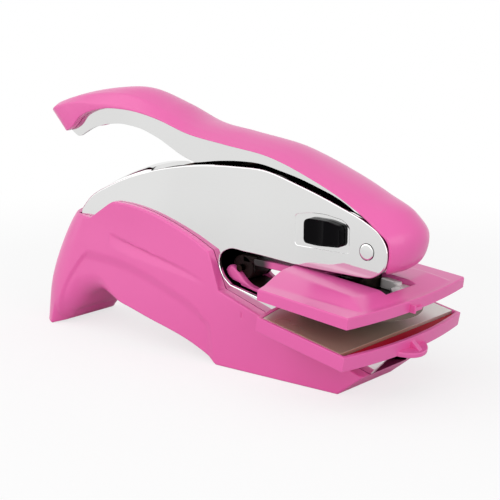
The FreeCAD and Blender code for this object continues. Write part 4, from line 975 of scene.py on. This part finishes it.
def thumb_tab():
    """The half-round thumb tab with its upright gusset."""
    low = TRAY_RIM - TRAY_THICK
    centre = TRAY_REAR + TRAY_LENGTH + TRAY_FRONT_BOW + TAB_REACH - TAB_RADIUS
    turn = np.radians(np.linspace(-75, 75, 40))
    arc = np.column_stack([centre + TAB_RADIUS * np.cos(turn), TAB_RADIUS * np.sin(turn)])
    plan = np.concatenate([[(centre - 1.0, -8.7)], arc, [(centre - 1.0, 8.7)]])
    front = TRAY_REAR + TRAY_LENGTH + TRAY_FRONT_BOW - WALL
    tip = centre + TAB_RADIUS - 1.0
    brace = rounded_loop([(front, low), (tip, low), (tip, low + TAB_THICK), (front, TRAY_RIM - 0.2)], 0.7)
    return slab(plan, low, low + TAB_THICK, 0.4, lift=level) + slab(brace, -1.1, 1.1, 0.2)


def above_jaw(x, height):
    """A place at a height over the jaw's line."""
    return x, JAW_REAR[1] + 0.1 - (x - JAW_REAR[0]) * FALL + height


def pillow(loop, centre, low, high):
    """A swollen plate: loops shrink to a centre while they rise from low to high."""
    shrink = np.array([0.0, 1.0, 1.0, 0.97, 0.90, 0.76, 0.5, 0.25, 0.0])
    rise = np.array([0.0, 0.0, 0.35, 0.62, 0.82, 0.93, 0.98, 1.0, 1.0])
    rows = np.array(centre) + (loop - centre) * shrink[:, None, None]
    return grid_patch(upright(rows, (low + (high - low) * rise)[:, None]), around=True)


def jaw_strip(front, height):
    """The side outline of a strip along the jaw, from the hinge to its front."""
    rear = -66.0
    return rounded_loop([above_jaw(rear, 0), above_jaw(front, 0), above_jaw(front, height), above_jaw(rear, height)],
                        0.5)


def lower_arm():
    """The tray's arm: two thin rails along the jaw, each swelling to a rounded end."""
    swell = smooth_line(BULB, 120)[:-1]
    strip = jaw_strip(-35.0, 1.1)
    parts = []
    for side in (-1, 1):
        parts += slab(strip, side * ARM_HALF, side * RAIL_IN, 0.2)
        parts.append(pillow(swell, swell.mean(axis=0), side * RAIL_SWELL[0], side * RAIL_SWELL[1]))
    return parts


def arm_core():
    """The steel core between the rails, with the hinge's middle knuckle."""
    return (slab(jaw_strip(-37.0, 1.2), -ARM_CORE_HALF, ARM_CORE_HALF, 0.2)
            + slab(circle(HINGE, HINGE_RADIUS, 64), -CORE_HALF, CORE_HALF, 0.4))


tray = make_piece("tray_clip_plate", laid_down(tray_patches() + thumb_tab(), TRAY_REAR, TRAY_RIM, TRAY_SLOPE)
                  + lower_arm(), pink, "clip", flat_faces=True)
# The core and middle knuckle are coloured near black as painted shade in the throat.
core = make_piece("clip_arm_core", arm_core(), knuckle_painted_shade, "clip")
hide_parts("die_tray")
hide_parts("die_tray")


# %% The well's floor and the satin plate
def well_floor():
    """A thin liner on the crescent's floor, coloured deep red as painted shade."""
    half = PLATE_HALF - WALL - WELL_GAP
    front = TRAY_REAR + TRAY_LENGTH - WALL - WELL_GAP
    y = np.linspace(-half, half, 60)
    arc = np.column_stack([front + TRAY_FRONT_BOW * (1 - (y / half) ** 2), y])
    loop = np.concatenate([arc, [(PLATE_FRONT + WELL_GAP, half), (PLATE_FRONT + WELL_GAP, -half)]])
    return slab(loop, TRAY_RIM - WELL_SINK, TRAY_RIM - 1.1, 0.05, lift=level)


well = make_piece("tray_well", laid_down(well_floor(), TRAY_REAR, TRAY_RIM, TRAY_SLOPE), well_painted_shade, "clip")
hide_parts("die_tray")


def satin_patches():
    """The satin plate: a thin slab with a bowed rear and a straight front."""
    half = PLATE_HALF - WALL - PLATE_GAP
    plan = bowed_outline(TRAY_REAR + WALL + PLATE_GAP, PLATE_FRONT - PLATE_GAP, half, 0.0, TRAY_REAR_BOW - 0.1)
    return slab(plan, TRAY_RIM - SEAT_SINK + 0.05, TRAY_RIM, 0.12, lift=level)


# The satin plate's finish carries painted shade and a painted reflection.
satin = make_piece("satin_die_plate", laid_down(satin_patches(), TRAY_REAR, TRAY_RIM, TRAY_SLOPE), satin_steel,
                   "clip", sharp_deg=60, flat_faces=True)
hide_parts("lower_die_plate")

# %% [markdown]
# ## Rivet and lock
# The rivet is turned: a profile of radius and place swept round its line. The lock button is a set of shrinking
# loops: the first ones climb its side, and the rest cross its face, where two finger hollows dip between ridges.

# %% Rivet
RIVET_PROFILE = [(0.0, -11.33), (2.2, -11.31), (2.5, -11.27), (2.68, -11.16), (2.73, -11.0), (2.73, -9.0),
                 (2.2, -9.0), (2.2, 10.98), (2.98, 10.98), (3.0, 11.02), (2.75, 11.25), (2.3, 11.38), (0.0, 11.42)]


def turned(profile, centre, count=64):
    """A profile of (radius, y) pairs swept round the line across at a centre."""
    profile = np.asarray(profile, float)
    turn = np.linspace(0, 2 * np.pi, count, endpoint=False)
    return np.stack([centre[0] + profile[:, :1] * np.cos(turn), np.repeat(profile[:, 1:], count, axis=1),
                     centre[1] + profile[:, :1] * np.sin(turn)], axis=-1)


rivet = make_piece("nose_rivet", [grid_patch(turned(RIVET_PROFILE, PIVOT), around=True)], chrome, "stand",
                   sharp_deg=40)
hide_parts("pivot_rivet")

# %% Lock button
BUTTON = (-26.7, 53.2)
BUTTON_LENGTH, BUTTON_HEIGHT, BUTTON_RISE = 15.3, 9.0, 2.2
HOLLOW_DEPTH, HOLLOW_SHIFT = 0.85, 0.9


def button_patches():
    """Loops of the button's outline shrinking to its middle; each hollow dips by HOLLOW_DEPTH (1 - s^2)."""
    hx, hz = BUTTON_LENGTH / 2, BUTTON_HEIGHT / 2
    corners = [(-hx, 0.4 - hz), (-2.0, -hz), (hx, 0.6 - hz), (hx, hz - 1.2), (2.0, hz - 0.1), (2.0 - hx, hz),
               (-hx, hz - 0.9)]
    loop = rounded_loop(np.array(BUTTON) + corners, 1.6, 8)
    steps = np.linspace(0, 1, 8)
    loop = (loop[:, None] + (np.roll(loop, -1, axis=0) - loop)[:, None] * steps[None, :-1, None]).reshape(-1, 2)
    shrink = np.concatenate([[1.0, 1.0, 0.985, 0.965, 0.93], np.linspace(0.88, 0.0, 22)])
    rise = np.concatenate([[0.0, 1.6, 1.95, 2.12, BUTTON_RISE], np.full(22, BUTTON_RISE)])
    rows = np.array(BUTTON) + (loop - BUTTON) * shrink[:, None, None]
    quarter = BUTTON_LENGTH / 4
    s = (np.abs(rows[..., 0] - BUTTON[0] - HOLLOW_SHIFT) - quarter) / quarter
    dip = HOLLOW_DEPTH * np.clip(1 - s ** 2, 0, 1) * soft_step((1 - shrink) / 0.1)[:, None]
    y = -(CHEEK_Y + 0.1) - rise[:, None] + dip
    face = np.stack([rows[..., 0], y, rows[..., 1]], axis=-1)
    back = face[0][None].repeat(2, axis=0)
    back[1] = back[0].mean(axis=0)
    return [grid_patch(face, around=True), grid_patch(back, around=True)]


button = make_piece("lock_thumb_button", button_patches(), black, "lock", sharp_deg=60)
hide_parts("lock_button")

# %% [markdown]
# ## Floor, light and camera
# The floor and backdrop are plain and pale. The world is white where the camera and the metal see it, and calmer
# for the light that falls on the object, so the pink keeps its colour. Three large soft lamps model the object,
# and the floor's shadow shows under the heel and the front block.

# %% Floor
FLOOR_MATT, FLOOR_MATT_SEEN = 0.60, 0.95
GLOW_FROM, GLOW_TO = 0.16, 0.34
GLOW_LEAST = 0.72
WHITE = (1, 1, 1, 1)
FLOOR_REACH = 3


def seen_by_camera(tree):
    """1 for a camera, glossy or transmission ray and 0 for the others."""
    rays = node(tree, "LightPath").outputs
    direct = maths(tree, "MAXIMUM", rays["Is Camera Ray"], rays["Is Glossy Ray"])
    return maths(tree, "MAXIMUM", direct, rays["Is Transmission Ray"])


def stage_material():
    """A pale floor that reads as white to the camera and keeps the shadow.

    It is matt with a share of glow. The share grows with the distance from the middle, from nothing for what
    the object reflects, and from GLOW_LEAST for the camera.
    """
    material = bpy.data.materials.new("pale floor")
    material.use_nodes = True
    tree = material.node_tree
    tree.nodes.clear()
    tones = {"A": (*[FLOOR_MATT] * 3, 1), "B": (*[FLOOR_MATT_SEEN] * 3, 1)}
    shade = node(tree, "Mix", {"Factor": seen_by_camera(tree)} | tones, data_type="RGBA")
    matt = node(tree, "BsdfDiffuse", {"Color": shade.outputs["Result"]})
    glow = node(tree, "Emission", {"Color": WHITE, "Strength": 1.0})
    place = node(tree, "TexCoord").outputs["Object"]
    reach = node(tree, "VectorMath", {0: place}, operation="LENGTH").outputs["Value"]
    fade = climb(tree, reach, GLOW_FROM, GLOW_TO)
    camera_only = node(tree, "LightPath").outputs["Is Camera Ray"]
    lifted = maths(tree, "MULTIPLY", maths(tree, "MULTIPLY_ADD", fade, 1 - GLOW_LEAST, GLOW_LEAST), camera_only)
    share = maths(tree, "MAXIMUM", lifted, maths(tree, "MULTIPLY", seen_by_camera(tree), fade))
    pick = node(tree, "MixShader", {"Fac": share, 1: matt.outputs[0], 2: glow.outputs[0]})
    node(tree, "OutputMaterial", {"Surface": pick.outputs[0]})
    return material


floor_mesh = bpy.data.meshes.new("floor")
floor_mesh.from_pydata([(x * FLOOR_REACH, y * FLOOR_REACH, 0) for x, y in ((-1, -1), (1, -1), (1, 1), (-1, 1))],
                       [], [(0, 1, 2, 3)])
floor_mesh.materials.append(stage_material())
table = bpy.data.objects.new("floor", floor_mesh)
bpy.context.scene.collection.objects.link(table)

# %% World and lamps
world = bpy.data.worlds.new("white room")
bpy.context.scene.world = world
world.use_nodes = True
room = world.node_tree
room.nodes.clear()
LIGHT_STRENGTH, SEEN_STRENGTH = 0.60, 1.0
light, view = [node(room, "Background", {"Color": WHITE, "Strength": strength}).outputs[0]
               for strength in (LIGHT_STRENGTH, SEEN_STRENGTH)]
room_pick = node(room, "MixShader", {"Fac": seen_by_camera(room), 1: light, 2: view})
node(room, "OutputWorld", {"Surface": room_pick.outputs[0]})


def soft_lamp(name, place, target, size, power):
    """A square area lamp that looks at a target."""
    lamp = bpy.data.lights.new(name, "AREA")
    lamp.shape = "SQUARE"
    lamp.size = size
    lamp.energy = power
    holder = bpy.data.objects.new(name, lamp)
    holder.location = place
    holder.rotation_euler = (Vector(target) - Vector(place)).to_track_quat("-Z", "Y").to_euler()
    bpy.context.scene.collection.objects.link(holder)


soft_lamp("top lamp", place=(-0.10, -0.15, 0.75), target=(0, 0, 0.03), size=1.0, power=0.5)
soft_lamp("front lamp", place=(-0.45, -0.65, 0.45), target=(0, 0, 0.05), size=1.3, power=4.5)
soft_lamp("side lamp", place=(0.75, -0.45, 0.12), target=(0, 0, 0.03), size=1.1, power=5.5)

# %% Camera
camera_data = bpy.data.cameras.new("camera")
camera_data.lens = 98.0
camera_data.sensor_width = 36.0
camera_data.clip_start = 0.01
camera = bpy.data.objects.new("camera", camera_data)
camera.location = (0.3173, -0.3683, 0.1486)
camera.rotation_euler = (math.radians(77.1), 0, math.radians(39.5))
bpy.context.scene.collection.objects.link(camera)
bpy.context.scene.camera = camera
bpy.context.scene.view_settings.view_transform = "Standard"
